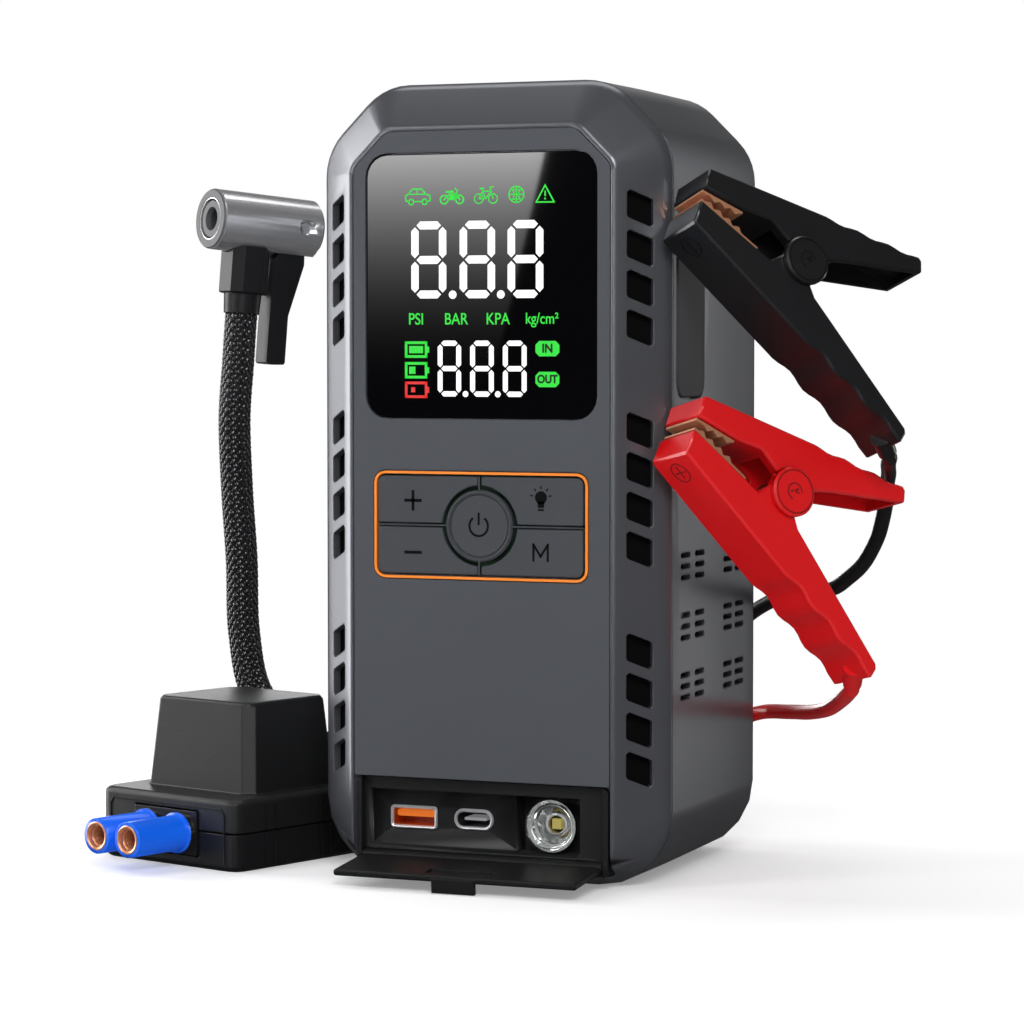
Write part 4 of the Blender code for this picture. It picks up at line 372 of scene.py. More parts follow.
def dressed(node, look, bevel=0.0, smooth=SMOOTH_ANGLE):
    """A merged copy that stands for its node, with rounded edges and even shading."""
    bm = bmesh.new()
    bm.from_mesh(frame["nodes"][node].data)
    bmesh.ops.remove_doubles(bm, verts=bm.verts, dist=SKIN_MERGE)
    bmesh.ops.dissolve_limit(bm, angle_limit=FLAT_ANGLE, verts=bm.verts, edges=bm.edges)
    name = node + "_skin"
    obj = new_object(name, mesh_from(bm, name))
    settle(obj, look, NODE_BODY[node], smooth)
    if bevel:
        rounding = obj.modifiers.new("rounding", "BEVEL")
        rounding.width = bevel
        rounding.segments = 2
        rounding.limit_method = "ANGLE"
        rounding.angle_limit = math.radians(SMOOTH_ANGLE)
    weight = obj.modifiers.new("even_shading", "WEIGHTED_NORMAL")
    weight.keep_sharp = True
    weight.weight = 80
    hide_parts(node)


def repaint(node, look):
    paint(frame["nodes"][node], look)


def raised(bm, faces, lift):
    """Faces given thickness along a vector."""
    grown = bmesh.ops.extrude_face_region(bm, geom=faces)
    moved = [item for item in grown["geom"] if isinstance(item, bmesh.types.BMVert)]
    bmesh.ops.translate(bm, vec=lift, verts=moved)


class Drawing:
    """Flat shapes laid on a plane: x and y in millimetres, raised by a height."""

    def __init__(self, place, height):
        self.bm = bmesh.new()
        self.place = place
        self.lift = place.to_3x3() @ Vector((0.0, 0.0, height))

    def shape(self, outline):
        spots = [self.place @ Vector((x * MM, y * MM, 0.0)) for x, y in outline]
        face = self.bm.faces.new([self.bm.verts.new(spot) for spot in spots])
        raised(self.bm, [face], self.lift)

    def bar(self, start, end, width):
        start, end = Vector(start), Vector(end)
        way = (end - start).normalized() * width / 2
        side = Vector((-way.y, way.x))
        start, end = start - way, end + way
        self.shape([start - side, end - side, end + side, start + side])

    def line(self, points, width, closed=False):
        points = list(points)
        if closed:
            points.append(points[0])
        for first, second in zip(points, points[1:]):
            self.bar(first, second, width)

    def disc(self, x, y, radius, sides=20):
        turns = [math.tau * index / sides for index in range(sides)]
        self.shape([(x + radius * math.cos(turn), y + radius * math.sin(turn)) for turn in turns])

    def ring(self, x, y, radius, width, sides=32, start=0.0, sweep=360.0):
        """A ring or an arc, as a row of short bars."""
        outer, inner = radius + width / 2, radius - width / 2
        for index in range(sides):
            first = math.radians(start + sweep * index / sides)
            second = math.radians(start + sweep * (index + 1) / sides)
            corners = [(inner, first), (outer, first), (outer, second), (inner, second)]
            self.shape([(x + r * math.cos(t), y + r * math.sin(t)) for r, t in corners])

    def sign(self, strokes, x=0.0, y=0.0):
        """Strokes about a point: each a kind, its points and its sizes."""
        for kind, points, *sizes in strokes:
            spots = [(x + a, y + b) for a, b in points]
            if kind in ("line", "loop"):
                self.line(spots, *sizes, kind == "loop")
            elif kind == "shape":
                self.shape(spots)
            else:
                for spot in spots:
                    getattr(self, kind)(*spot, *sizes)

    def words(self, text, x, y, size, squeeze=1.0, bold=0.00004):
        """Plain letters, centred on a point."""
        curve = bpy.data.curves.new("letters", "FONT")
        curve.body = text
        curve.size = size * MM
        curve.align_x = "CENTER"
        curve.align_y = "CENTER"
        curve.offset = bold
        letters = new_object("letters", curve)
        bpy.context.view_layer.update()
        shown = letters.evaluated_get(bpy.context.evaluated_depsgraph_get())
        mesh = bpy.data.meshes.new_from_object(shown)
        bpy.data.objects.remove(letters, do_unlink=True)
        narrow = Matrix.Diagonal((squeeze, 1.0, 1.0, 1.0))
        mesh.transform(self.place @ Matrix.Translation((x * MM, y * MM, 0.0)) @ narrow)
        text_bm = bmesh.new()
        text_bm.from_mesh(mesh)
        bmesh.ops.remove_doubles(text_bm, verts=text_bm.verts, dist=TINY_MERGE)
        raised(text_bm, text_bm.faces[:], self.lift)
        text_bm.to_mesh(mesh)
        text_bm.free()
        self.bm.from_mesh(mesh)
        bpy.data.meshes.remove(mesh)

    def piece(self, name, look, body="unit"):
        piece_from(self.bm, name, look, body, 30.0, 0.0)


def front_place(depth):
    """Drawings on a plane of the front: x to the right, y up, raised towards the viewer."""
    return Matrix.Translation((0.0, depth, 0.0)) @ Matrix.Rotation(QUARTER, 4, "X")


def turned(bm, profile, place, steps):
    """A turned skin from (radius, height) pairs, spun once round the place's own z."""
    lathe = bmesh.new()
    verts = [lathe.verts.new((radius, 0.0, height)) for radius, height in profile]
    edges = [lathe.edges.new(pair) for pair in zip(verts, verts[1:])]
    bmesh.ops.spin(
        lathe, geom=verts + edges, cent=(0.0, 0.0, 0.0), axis=(0.0, 0.0, 1.0), angle=math.tau,
        steps=steps, use_merge=True
    )
    bmesh.ops.remove_doubles(lathe, verts=lathe.verts, dist=TINY_MERGE)
    bmesh.ops.transform(lathe, matrix=place, verts=lathe.verts)
    mesh = mesh_from(lathe, "turned")
    bm.from_mesh(mesh)
    bpy.data.meshes.remove(mesh)


def turned_piece(name, look, place, steps, profile):
    """A piece of one turned skin, on the unit."""
    bm = bmesh.new()
    turned(bm, profile, place, steps)
    piece_from(bm, name, look, "unit", 40.0)


def poly_curve(name, points, radius, roundness, look, node):
    """A round cord through points, that stands for its node."""
    curve = bpy.data.curves.new(name, "CURVE")
    curve.dimensions = "3D"
    curve.bevel_depth = radius
    curve.bevel_resolution = roundness
    curve.use_fill_caps = True
    spline = curve.splines.new("POLY")
    spline.points.add(len(points) - 1)
    for point, place in zip(spline.points, points):
        point.co = (*place, 1.0)
    spline.use_smooth = True
    obj = new_object(name, curve)
    paint(obj, look)
    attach(obj, NODE_BODY[node])
    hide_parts(node)
    return obj


# ---- studio ----
MIDDLE = (0.0, 0.0, 0.11)
# By name: place, target, width and height, and power.
LIGHTS = {
    "left_box": ((-0.95, 0.02, 0.3), MIDDLE, (0.36, 0.9), 7.5),
    "top_box": ((-0.15, 0.35, 1.15), MIDDLE, (0.9, 0.4), 3.0),
    "right_strip": ((0.5, 0.85, 0.3), MIDDLE, (0.1, 0.9), 1.1),
    "front_box": ((0.55, -1.1, 0.85), MIDDLE, (0.6, 0.45), 11.0),
    "fill_box": ((-0.75, -1.0, 1.1), MIDDLE, (0.5, 0.4), 2.6),
    "left_strip": ((-0.72, -0.8, 0.22), MIDDLE, (0.07, 0.6), 1.6),
    "back_left": ((-0.52, 0.9, 0.17), (-0.08, 0.0, 0.045), (0.34, 0.16), 1.1),
    "near_strip": ((0.44, -1.12, 0.24), MIDDLE, (0.06, 0.45), 0.9),
}
FLOOR_LIGHT = 0.24
FLOOR_FADE = (0.22, 0.55)
MIRRORED_BASE = 0.05
DIFFUSE_LIGHT = 0.34
CARD_FADE = (0.1, 0.265)
CARD_FALL = 3.8
CARD_LIGHT = 18.0
DARK_CARD = ((-0.62, -0.1), (-0.2, -0.1), (-0.2, 0.5), (-0.62, 0.5))
LIT_CARD = ((-0.56, 0.1), (-0.413, 0.1), (-0.372, 0.265), (-0.362, 0.3), (-0.56, 0.3))


def area_light(name, place, target, size, power):
    data = bpy.data.lights.new(name, "AREA")
    data.shape = "RECTANGLE"
    data.size, data.size_y = size
    data.energy = power
    light = new_object(name, data)
    light.location = place
    way = Vector(target) - light.location
    light.rotation_euler = way.to_track_quat("-Z", "Y").to_euler()
    light.visible_camera = False


def floor_finish():
    """White that keeps a soft shadow and meets the white background without an edge."""
    made = bpy.data.materials.new("floor_white")
    tree, shader = nodes_of(made)
    feed(tree, shader, {"Base Color": (0.86, 0.86, 0.87, 1.0), "Roughness": 0.8})
    feed(tree, shader, {"Specular IOR Level": 0.15})
    camera = add_node(tree, "LightPath").outputs["Is Camera Ray"]
    strength = calculated(tree, "MULTIPLY", camera, FLOOR_LIGHT)
    own = add_node(tree, "Emission", {"Color": WHITE, "Strength": strength})
    lit = add_node(tree, "AddShader", {0: shader.outputs["BSDF"], 1: own.outputs["Emission"]})
    place = add_node(tree, "TexCoord").outputs["Object"]
    reach = add_node(tree, "VectorMath", {0: place}, operation="LENGTH").outputs["Value"]
    away = calculated(tree, "MULTIPLY", faded(tree, reach, *FLOOR_FADE), camera)
    clear = add_node(tree, "BsdfTransparent").outputs["BSDF"]
    blend = add_node(tree, "MixShader", {"Fac": away, 1: lit.outputs["Shader"], 2: clear})
    feed(tree, tree.nodes["Material Output"], {"Surface": blend.outputs["Shader"]})
    return made


def white_world():
    """White to the camera; in reflections dark, with a pale band low behind on the left."""
    world = bpy.data.worlds.new("studio")
    world.use_nodes = True
    bpy.context.scene.world = world
    tree = world.node_tree
    place = add_node(tree, "TexCoord").outputs["Generated"]
    way = add_node(tree, "SeparateXYZ", {"Vector": place}).outputs
    behind = faded(tree, way["Y"], 0.1, 0.8)
    above = faded(tree, way["Z"], -0.02, 0.18, 0.0, 0.4)
    below = faded(tree, way["Z"], 0.22, 0.5, 1.0, 0.0)
    left = faded(tree, way["X"], -0.3, 0.0, 1.0, 0.0)
    low_left = calculated(tree, "MULTIPLY", calculated(tree, "MULTIPLY", above, below), left)
    band = calculated(tree, "MULTIPLY", behind, low_left)
    mirrored = calculated(tree, "ADD", band, MIRRORED_BASE)
    path = add_node(tree, "LightPath").outputs
    unseen = add_node(
        tree, "Mix", {"Factor": path["Is Glossy Ray"], "A": DIFFUSE_LIGHT, "B": mirrored}
    )
    seen = calculated(tree, "MAXIMUM", path["Is Camera Ray"], path["Is Transmission Ray"])
    strength = add_node(tree, "Mix", {"Factor": seen, "A": unseen.outputs["Result"], "B": 1.0})
    background = tree.nodes["Background"]
    feed(tree, background, {"Color": WHITE, "Strength": strength.outputs["Result"]})


def card_finish():
    """A lit card that fades downwards, for the window's reflection."""
    made = bpy.data.materials.new("card_light")
    tree, shader = nodes_of(made)
    place = add_node(tree, "TexCoord").outputs["Object"]
    height = add_node(tree, "SeparateXYZ", {"Vector": place}).outputs["Z"]
    share = faded(tree, height, *CARD_FADE, way="LINEAR")
    steep = calculated(tree, "POWER", share, CARD_FALL)
    inputs = {
        "Base Color": BLACK,
        "Roughness": 1.0,
        "Emission Color": WHITE,
        "Emission Strength": calculated(tree, "MULTIPLY", steep, CARD_LIGHT),
    }
    feed(tree, shader, inputs)
    return made


def reflection_card(name, corners, depth, look):
    """A card that only the window's reflection shows."""
    bm = bmesh.new()
    bm.faces.new([bm.verts.new((x, depth, z)) for x, z in corners])
    card = new_object(name, mesh_from(bm, name))
    paint(card, look)
    card.visible_camera = False
    card.visible_diffuse = False
    card.visible_shadow = False


class PACK_OT_studio(bpy.types.Operator):
    """Camera, pale floor, soft lights and the cards that the window reflects"""

    bl_idname = "pack.studio"
    bl_label = "Studio"

    def execute(self, context):
        settings = context.scene.pack_studio
        data = bpy.data.cameras.new("camera")
        data.lens = settings.lens
        data.sensor_width = 36.0
        camera = new_object("camera", data)
        camera.location = settings.eye
        camera.rotation_euler = (QUARTER - settings.pitch, 0.0, settings.azimuth)
        context.scene.camera = camera
        context.scene.view_settings.view_transform = "Standard"
        bm = bmesh.new()
        bmesh.ops.create_grid(bm, x_segments=1, y_segments=1, size=6.0)
        floor = new_object("floor", mesh_from(bm, "floor"))
        paint(floor, floor_finish())
        floor.visible_glossy = False
        white_world()
        reflection_card("card_dark", DARK_CARD, -1.035, "card_black")
        reflection_card("card_lit", LIT_CARD, -1.03, card_finish())
        for name, sizes in LIGHTS.items():
            area_light(name, *sizes)
        return {"FINISHED"}


# ---- cords ----
ROUTE_STEPS = 20
HOSE_STEP, BRAID_STEP, CABLE_STEP = 0.0012, 0.00026, 0.0022
HOSE_ROUNDNESS, WIRE_ROUNDNESS = 5, 3
CORE_INSET, BRAID_INSET = 0.0006, 0.0003
STRANDS = 12
STRAND_PITCH = 0.034
STRAND_HALF_WIDTH = 0.00084
STRAND_RISE = 0.00024
STRAND_SINK = 0.00046
STRAND_TOP = 0.55


def spread(points, spacing):
    """Points at an even spacing on the smooth curve through a route's own points."""
    route = [Vector(point) for point in points]
    ends = [2 * route[0] - route[1]] + route + [2 * route[-1] - route[-2]]
    fine = []
    for a, b, c, d in zip(ends, ends[1:], ends[2:], ends[3:]):
        for step in range(ROUTE_STEPS):
            t = step / ROUTE_STEPS
            bend = (c - a) * t + (2 * a - 5 * b + 4 * c - d) * t * t
            bend += (3 * b - a - 3 * c + d) * t * t * t
            fine.append(0.5 * (2 * b + bend))
    fine.append(route[-1])
    length = sum((second - first).length for first, second in zip(fine, fine[1:]))
    count = max(2, round(length / spacing))
    even = [fine[0]]
    walked, wanted = 0.0, length / count
    for first, second in zip(fine, fine[1:]):
        step = (second - first).length
        while walked + step >= wanted and len(even) < count:
            even.append(first.lerp(second, (wanted - walked) / step))
            wanted += length / count
        walked += step
    even.append(fine[-1])
    return even


def cord_run(route, ends, ways, diameter, spacing):
    """Straight out of each exit, and smooth through the route between."""
    start, end = Vector(ends[0]), Vector(ends[1])
    leave, arrive = Vector(ways[0]), Vector(ways[1])
    lead = diameter * 0.5
    middle = spread([start + leave * lead, *route, end - arrive * lead], spacing)
    return [start, *middle, end]


def frames_along(points):
    """A side vector at each point that turns as little as it can."""
    ways = []
    for index in range(len(points)):
        before = points[max(index - 1, 0)]
        after = points[min(index + 1, len(points) - 1)]
        ways.append((after - before).normalized())
    side = ways[0].orthogonal().normalized()
    sides = [side]
    for first, second in zip(ways, ways[1:]):
        side = first.rotation_difference(second) @ side
        side = (side - second * side.dot(second)).normalized()
        sides.append(side)
    return ways, sides


def braid(points, radius, name):
    """Flat strands wound both ways round the hose, over and under one another in turn."""
    ways, sides = frames_along(points)
    walked = [0.0]
    for first, second in zip(points, points[1:]):
        walked.append(walked[-1] + (second - first).length)
    slope = math.atan2(math.tau * radius, STRAND_PITCH)
    bm = bmesh.new()
    for turn_way in (1, -1):
        for strand in range(STRANDS):
            last = None
            for point, way, side, gone in zip(points, ways, sides, walked):
                angle = math.tau * (strand / STRANDS + turn_way * gone / STRAND_PITCH)
                weave = turn_way * math.cos(math.tau * STRANDS * gone / STRAND_PITCH)
                normal = Matrix.Rotation(angle, 3, way) @ side
                across = way.cross(normal)
                edge = across * math.cos(slope) - way * (math.sin(slope) * turn_way)
                edge = edge * STRAND_HALF_WIDTH
                middle = point + normal * (radius + STRAND_RISE * weave)
                low = normal * STRAND_SINK
                top = edge * STRAND_TOP
                spots = (middle - low - edge, middle - top, middle + top, middle - low + edge)
                row = [bm.verts.new(spot) for spot in spots]
                if last:
                    for corners in zip(last, last[1:], row[1:], row):
                        bm.faces.new(corners)
                last = row
    return piece_from(bm, name, "hose_braid", "unit", 60.0)


class PACK_OT_cords(bpy.types.Operator):
    """Air hose with its braid, and the two jumper cables"""

    bl_idname = "pack.cords"
    bl_label = "Cords"

    def execute(self, context):
        run = cord_run(HOSE_ROUTE, HOSE_ENDS, HOSE_WAYS, HOSE_DIAMETER, HOSE_STEP)
        radius = HOSE_DIAMETER / 2
        core = radius - CORE_INSET
        hose = poly_curve("air_hose_core", run, core, HOSE_ROUNDNESS, "hose_core", "air_hose")
        wrap = braid(spread(run, BRAID_STEP), radius - BRAID_INSET, "air_hose_braid")
        for color, route, ends, ways, length in (
            ("black", BLACK_ROUTE, BLACK_ENDS, BLACK_WAYS, BLACK_LENGTH),
            ("red", RED_ROUTE, RED_ENDS, RED_WAYS, RED_LENGTH),
        ):
            run = cord_run(route, ends, ways, CABLE_DIAMETER, CABLE_STEP)
            node, look = "cable_" + color, "jacket_" + color
            name = node + "_jacket"
            cable = poly_curve(name, run, CABLE_DIAMETER / 2, HOSE_ROUNDNESS, look, node)
        return {"FINISHED"}


# ---- shells and panel ----
class PACK_OT_shells(bpy.types.Operator):
    """Front bezel, back shell, front panel, vent strips and the parts inside"""

    bl_idname = "pack.shells"
    bl_label = "Shells"

    def execute(self, context):
        dressed("front_shell", "shell_satin", smooth=50.0)
        dressed("back_shell", "shell_satin", smooth=50.0)
        dressed("front_panel", "panel_matt")
        for node, look in (
            ("grille_left", "vent_black"),
            ("grille_right", "vent_black"),
            ("display_board", "board_green"),
            ("main_board", "board_green"),
            ("battery_pack", "cell_wrap"),
            ("pump_motor", "spring_steel"),
            ("pump_cylinder", "chuck_metal"),
            ("air_outlet", "spring_steel"),
            ("jump_socket", "black_moulding"),
        ):
            repaint(node, look)
        return {"FINISHED"}


# ---- display, in millimetres from the middle of the front and from the floor ----
INK_HEIGHT = 0.00005
SEGMENTS = (
    ((0.0, 1.0), (1.0, 1.0)),
    ((1.0, 1.0), (1.0, 0.5)),
    ((1.0, 0.5), (1.0, 0.0)),
    ((1.0, 0.0), (0.0, 0.0)),
    ((0.0, 0.0), (0.0, 0.5)),
    ((0.0, 0.5), (0.0, 1.0)),
    ((0.0, 0.5), (1.0, 0.5)),
)
SEGMENT_GAP = 0.22
# Left edges, foot, width, height and bar of a row of digits, then its points and their radius.
DIGIT_ROWS = (
    ((-20.6, -6.1, 8.1), 161.8, 10.5, 21.2, 2.2, ((-8.2, 162.8), (6.1, 162.8)), 1.15),
    ((-12.7, -3.0, 6.7), 134.8, 7.0, 15.4, 1.45, ((-4.4, 135.5), (5.2, 135.5)), 0.85),
)
UNITS = (
    ("PSI", -19.2, 156.0, 4.5, 0.86),
    ("BAR", -7.2, 156.0, 4.5, 0.86),
    ("KPA", 5.2, 156.0, 4.5, 0.86),
    ("kg/cm²", 18.2, 156.1, 4.3, 0.84),
)
TAG_WORDS = (("IN", 19.8, 148.0, 3.3, 0.95), ("OUT", 19.8, 139.6, 3.1, 0.9))
TAG_BOLD = 0.00012
CAR_ROOF = ((-2.8, 0.9), (-1.7, 2.2), (1.2, 2.2), (2.4, 0.8))
CAR_BACK = ((-2.9, -1.2), (-3.6, -1.0), (-3.7, 0.4))
CAR_FRONT = ((3.6, 0.4), (3.7, -1.0), (2.9, -1.2))
CAR = (
    ("line", CAR_BACK + CAR_ROOF + CAR_FRONT, 0.38),
    ("line", ((-2.4, 0.8), (2.0, 0.8)), 0.3),
    ("line", ((-0.2, 0.8), (-0.2, 2.1)), 0.3),
    ("line", ((-1.1, -1.2), (1.1, -1.2)), 0.36),
    ("ring", ((-2.0, -1.3), (2.0, -1.3)), 0.75, 0.36, 16),
)
MOTORCYCLE = (
    ("ring", ((-2.3, -0.9), (2.3, -0.9)), 1.15, 0.42, 20),
    ("line", ((-2.3, -0.9), (-0.6, 0.7), (1.2, 0.7), (2.3, -0.9)), 0.42),
    ("line", ((-1.0, -0.8), (1.0, -0.8), (1.2, 0.7)), 0.5),
    ("line", ((-1.6, 1.2), (0.2, 1.3)), 0.55),
    ("line", ((1.0, 2.1), (1.7, 1.6), (1.4, 0.6)), 0.4),
    ("line", ((-0.3, -0.1), (0.7, -0.1)), 0.9),
)
BICYCLE = (
    ("ring", ((-2.1, -1.0), (2.1, -1.0)), 1.3, 0.3, 22),
    ("loop", ((-2.1, -1.0), (-0.9, 1.0), (1.4, 1.0), (0.0, -1.0)), 0.32),
    ("line", ((-1.1, 1.7), (-0.9, 1.0), (0.0, -1.0)), 0.3),
    ("line", ((2.1, -1.0), (1.2, 2.1), (2.2, 2.2)), 0.32),
    ("line", ((-1.6, 1.8), (-0.7, 1.8)), 0.42),
)
BALL = (
    ("ring", ((0.0, 0.0),), 2.2, 0.34, 28),
    ("line", ((-2.1, 0.0), (2.1, 0.0)), 0.3),
    ("ring", ((-2.6, 0.0),), 1.95, 0.3, 10, -50, 100),
    ("line", ((-1.6, -1.3), (1.6, -1.3)), 0.26),
    ("ring", ((2.6, 0.0),), 1.95, 0.3, 10, 130, 100),
    ("line", ((-1.6, 1.3), (1.6, 1.3)), 0.26),
    ("line", ((0.0, -2.1), (0.0, 2.1)), 0.3),
)
NOTICE = (
    ("loop", ((-2.6, -2.2), (2.6, -2.2), (0.0, 2.4)), 0.4),
    ("line", ((0.0, -0.4), (0.0, 0.7)), 0.42),
    ("disc", ((0.0, -1.25),), 0.28, 10),
)
CELL = (
    ("loop", ((-3.3, -1.9), (2.7, -1.9), (2.7, 1.9), (-3.3, 1.9)), 0.75),
    ("line", ((3.35, -0.55), (3.35, 0.55)), 0.55),
)
FULL_CHARGE = (("shape", ((-2.4, -1.0), (1.8, -1.0), (1.8, 1.0), (-2.4, 1.0))),)
HALF_CHARGE = (("shape", ((-2.4, -1.0), (-0.51, -1.0), (-0.51, 1.0), (-2.4, 1.0))),)
LOW_CHARGE = (("shape", ((-1.8, -0.7), (-0.6, -0.7), (-0.6, 0.7), (-1.8, 0.7))),)
TAG_FOOT, TAG_RIGHT = ((-2.4, -2.1), (2.4, -2.1)), ((3.5, -1.0), (3.5, 1.0))
TAG_HEAD, TAG_LEFT = ((2.4, 2.1), (-2.4, 2.1)), ((-3.5, 1.0), (-3.5, -1.0))
TAG = (("shape", TAG_FOOT + TAG_RIGHT + TAG_HEAD + TAG_LEFT),)
GREEN_SIGNS = (
    (CAR, -18.6, 189.7),
    (MOTORCYCLE, -8.4, 189.8),
    (BICYCLE, 1.7, 190.0),
    (BALL, 10.7, 190.0),
    (NOTICE, 19.1, 190.0),
    (CELL + FULL_CHARGE, -18.9, 147.7),
    (CELL + HALF_CHARGE, -18.9, 142.0),
    (TAG, 19.8, 148.0),
    (TAG, 19.8, 139.6),
)


def segment_digit(drawing, left, low, width, height, bar):
    """A seven-segment digit, all lit, with mitred gaps between its bars."""
    half = bar / 2
    gap = bar * SEGMENT_GAP
    for ends in SEGMENTS:
        first, second = (
            Vector((left + half + x * (width - bar), low + half + z * (height - bar)))
            for x, z in ends
        )
        way = (second - first).normalized()
        side = Vector((-way.y, way.x)) * half
        first = first + way * gap
        second = second - way * gap
        near, far = first + way * half, second - way * half
        drawing.shape([first, near - side, far - side, second, far + side, near + side])


class PACK_OT_display(bpy.types.Operator):
    """Glossy window with its lit digits, units and signs"""

    bl_idname = "pack.display"
    bl_label = "Display"

    def execute(self, context):
        colors = context.scene.pack_display
        dressed("display_lens", "display_window")
        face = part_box("display_lens")[0].y
        digits = Drawing(front_place(face), INK_HEIGHT)
        for lefts, foot, width, height, bar, points, radius in DIGIT_ROWS:
            for left in lefts:
                segment_digit(digits, left, foot, width, height, bar)
            for x, z in points:
                digits.disc(x, z, radius)
        digits.piece("display_digits", glow("digit_light", colors.lit))
        signs = Drawing(front_place(face), INK_HEIGHT)
        for unit in UNITS:
            signs.words(*unit)
        for strokes, x, z in GREEN_SIGNS:
            signs.sign(strokes, x, z)
        signs.piece("display_signs", glow("green_light", colors.green))
        low_charge = Drawing(front_place(face), INK_HEIGHT)
        low_charge.sign(CELL + LOW_CHARGE, -18.9, 136.6)
        low_charge.piece("display_low_charge", glow("red_light", colors.red))
        tags = Drawing(front_place(face - INK_HEIGHT), INK_HEIGHT)
        for word in TAG_WORDS:
            tags.words(*word, TAG_BOLD)
        tags.piece("display_tags", "sign_dark")
        return {"FINISHED"}


# ---- keypad ----
BULB = Vector((18.2, 107.4))
BULB_RAYS = [
    [BULB + Vector((math.cos(turn), math.sin(turn))) * reach for reach in (2.5, 3.0)]
    for turn in map(math.radians, (10, 50, 90, 130, 170))
]
# In millimetres on the front; the sign of the power key is about the key's middle.
KEY_SIGNS = {
    "plus": (
        ("line", ((-22.1, 106.0), (-17.7, 106.0)), 0.85),
        ("line", ((-19.9, 103.6), (-19.9, 108.4)), 0.85),
    ),
    "minus": (("line", ((-22.1, 91.6), (-17.7, 91.6)), 0.85),),
    "light": (
        ("disc", (BULB,), 1.75, 24),
        ("shape", ((17.35, 104.6), (19.05, 104.6), (19.3, 106.3), (17.1, 106.3))),
        ("line", ((17.6, 104.0), (18.8, 104.0)), 0.5),
        *(("line", ray, 0.34) for ray in BULB_RAYS),
    ),
    "mode": (
        ("line", ((16.0, 90.2), (16.0, 94.5), (18.1, 91.3), (20.2, 94.5), (20.2, 90.2)), 0.62),
    ),
    "power": (
        ("ring", ((-0.2, 0.0),), 2.75, 0.62, 28, 128, 284),
        ("line", ((-0.2, 0.6), (-0.2, 3.4)), 0.62),
    ),
}
WEB_HEIGHT = 0.0003


class PACK_OT_keypad(bpy.types.Operator):
    """Orange trim, five soft keys with their symbols, and the web between them"""

    bl_idname = "pack.keypad"
    bl_label = "Keypad"

    def execute(self, context):
        dressed("key_trim", "orange_trim")
        for key in ("key_plus", "key_minus", "key_light", "key_mode", "key_power"):
            dressed(key, "key_silicone")
        low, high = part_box("key_power")
        x, z = (low.x + high.x) / 2 / MM, (low.z + high.z) / 2 / MM
        web = Drawing(front_place(low.y), WEB_HEIGHT)
        web.ring(x, z, 9.3, 0.5, 72)
        for side in (-1, 1):
            web.bar((x + side * 9.7, z), (x + side * 30.2, z), 0.42)
            web.bar((x, z + side * 9.7), (x, z + side * 13.4), 0.42)
        web.piece("key_web", "key_silicone")
        for key, strokes in KEY_SIGNS.items():
            sign = Drawing(front_place(low.y), INK_HEIGHT)
            sign.sign(strokes, *((x, z) if key == "power" else (0.0, 0.0)))
            sign.piece("sign_" + key, "key_ink", "key_" + key)
        return {"FINISHED"}


# ---- ports and lamp ----
# How far each ring of a port's rim lies outwards, and how deep.
RIM_RINGS = ((0.0, 0.0002), (0.0003, -0.00035), (0.00065, -0.0004), (0.001, 0.0002))
RIM_INSET = 0.0007
RIM_CORNER, RIM_CORNER_SHARE, RIM_LEAST_CORNER = 0.0009, 0.48, 0.0004
RIM_CORNER_STEPS = 7
# Radius less than the bowl's, and height, along the lamp's bezel.
BEZEL_EDGE = ((0.0002, -0.0004), (0.0006, -0.0001), (0.0011, -0.0004))
BEZEL_BOWL = ((0.0012, -0.0012), (0.0016, -0.001), (0.0022, -0.0021))
CHIP_OUTSIDE = ((0.0034, -0.001), (0.0034, 0.0002), (0.0031, 0.0004))
CHIP_INSIDE = ((0.0024, 0.0004), (0.0022, 0.0001), (0.0022, -0.001))
CHIP_RISE = 0.0001


def port_rim(name):
    """A rolled rim round a port's mouth."""
    low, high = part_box(name + "_shell")
    width, height = high.x - low.x, high.z - low.z
    corner = height * RIM_CORNER_SHARE if name == "usb_c" else RIM_CORNER
    middle = Vector(((low.x + high.x) / 2, low.y, (low.z + high.z) / 2))
    bm = bmesh.new()
    rings = []
    for out, depth in RIM_RINGS:
        grow = out - RIM_INSET
        radius = max(corner + grow, RIM_LEAST_CORNER)
        across, up = width / 2 + grow - radius, height / 2 + grow - radius
        ring = []
        for sx, sz, start in ((1, 1, 0), (-1, 1, 90), (-1, -1, 180), (1, -1, 270)):
            for step in range(RIM_CORNER_STEPS):
                turn = math.radians(start + 90 * step / (RIM_CORNER_STEPS - 1))
                x = sx * across + radius * math.cos(turn)
                z = sz * up + radius * math.sin(turn)
                ring.append(bm.verts.new((middle.x + x, middle.y + depth, middle.z + z)))
        rings.append([bm.edges.new(pair) for pair in zip(ring, ring[1:] + ring[:1])])
    for near, far in zip(rings, rings[1:]):
        bmesh.ops.bridge_loops(bm, edges=near + far)
    piece_from(bm, name + "_rim", "port_metal", "unit", 50.0)


def lamp_rings():
    """Concentric steps in the lamp's bowl, and the bright frame round its chip."""
    low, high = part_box("lamp_reflector")
    x, z = (low.x + high.x) / 2, (low.z + high.z) / 2
    radius = (high.x - low.x) / 2
    forward = Vector((0.0, -1.0, 0.0)).to_track_quat("Z", "Y").to_matrix().to_4x4()
    bowl = Matrix.Translation((x, low.y, z)) @ forward
    bezel = [(radius - inside, height) for inside, height in BEZEL_EDGE + BEZEL_BOWL]
    turned_piece("lamp_bezel", "chrome", bowl, 56, bezel)
    chip = Matrix.Translation((x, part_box("lamp_led")[0].y + CHIP_RISE, z)) @ forward
    turned_piece("lamp_chip_frame", "spring_steel", chip, 40, CHIP_OUTSIDE + CHIP_INSIDE)


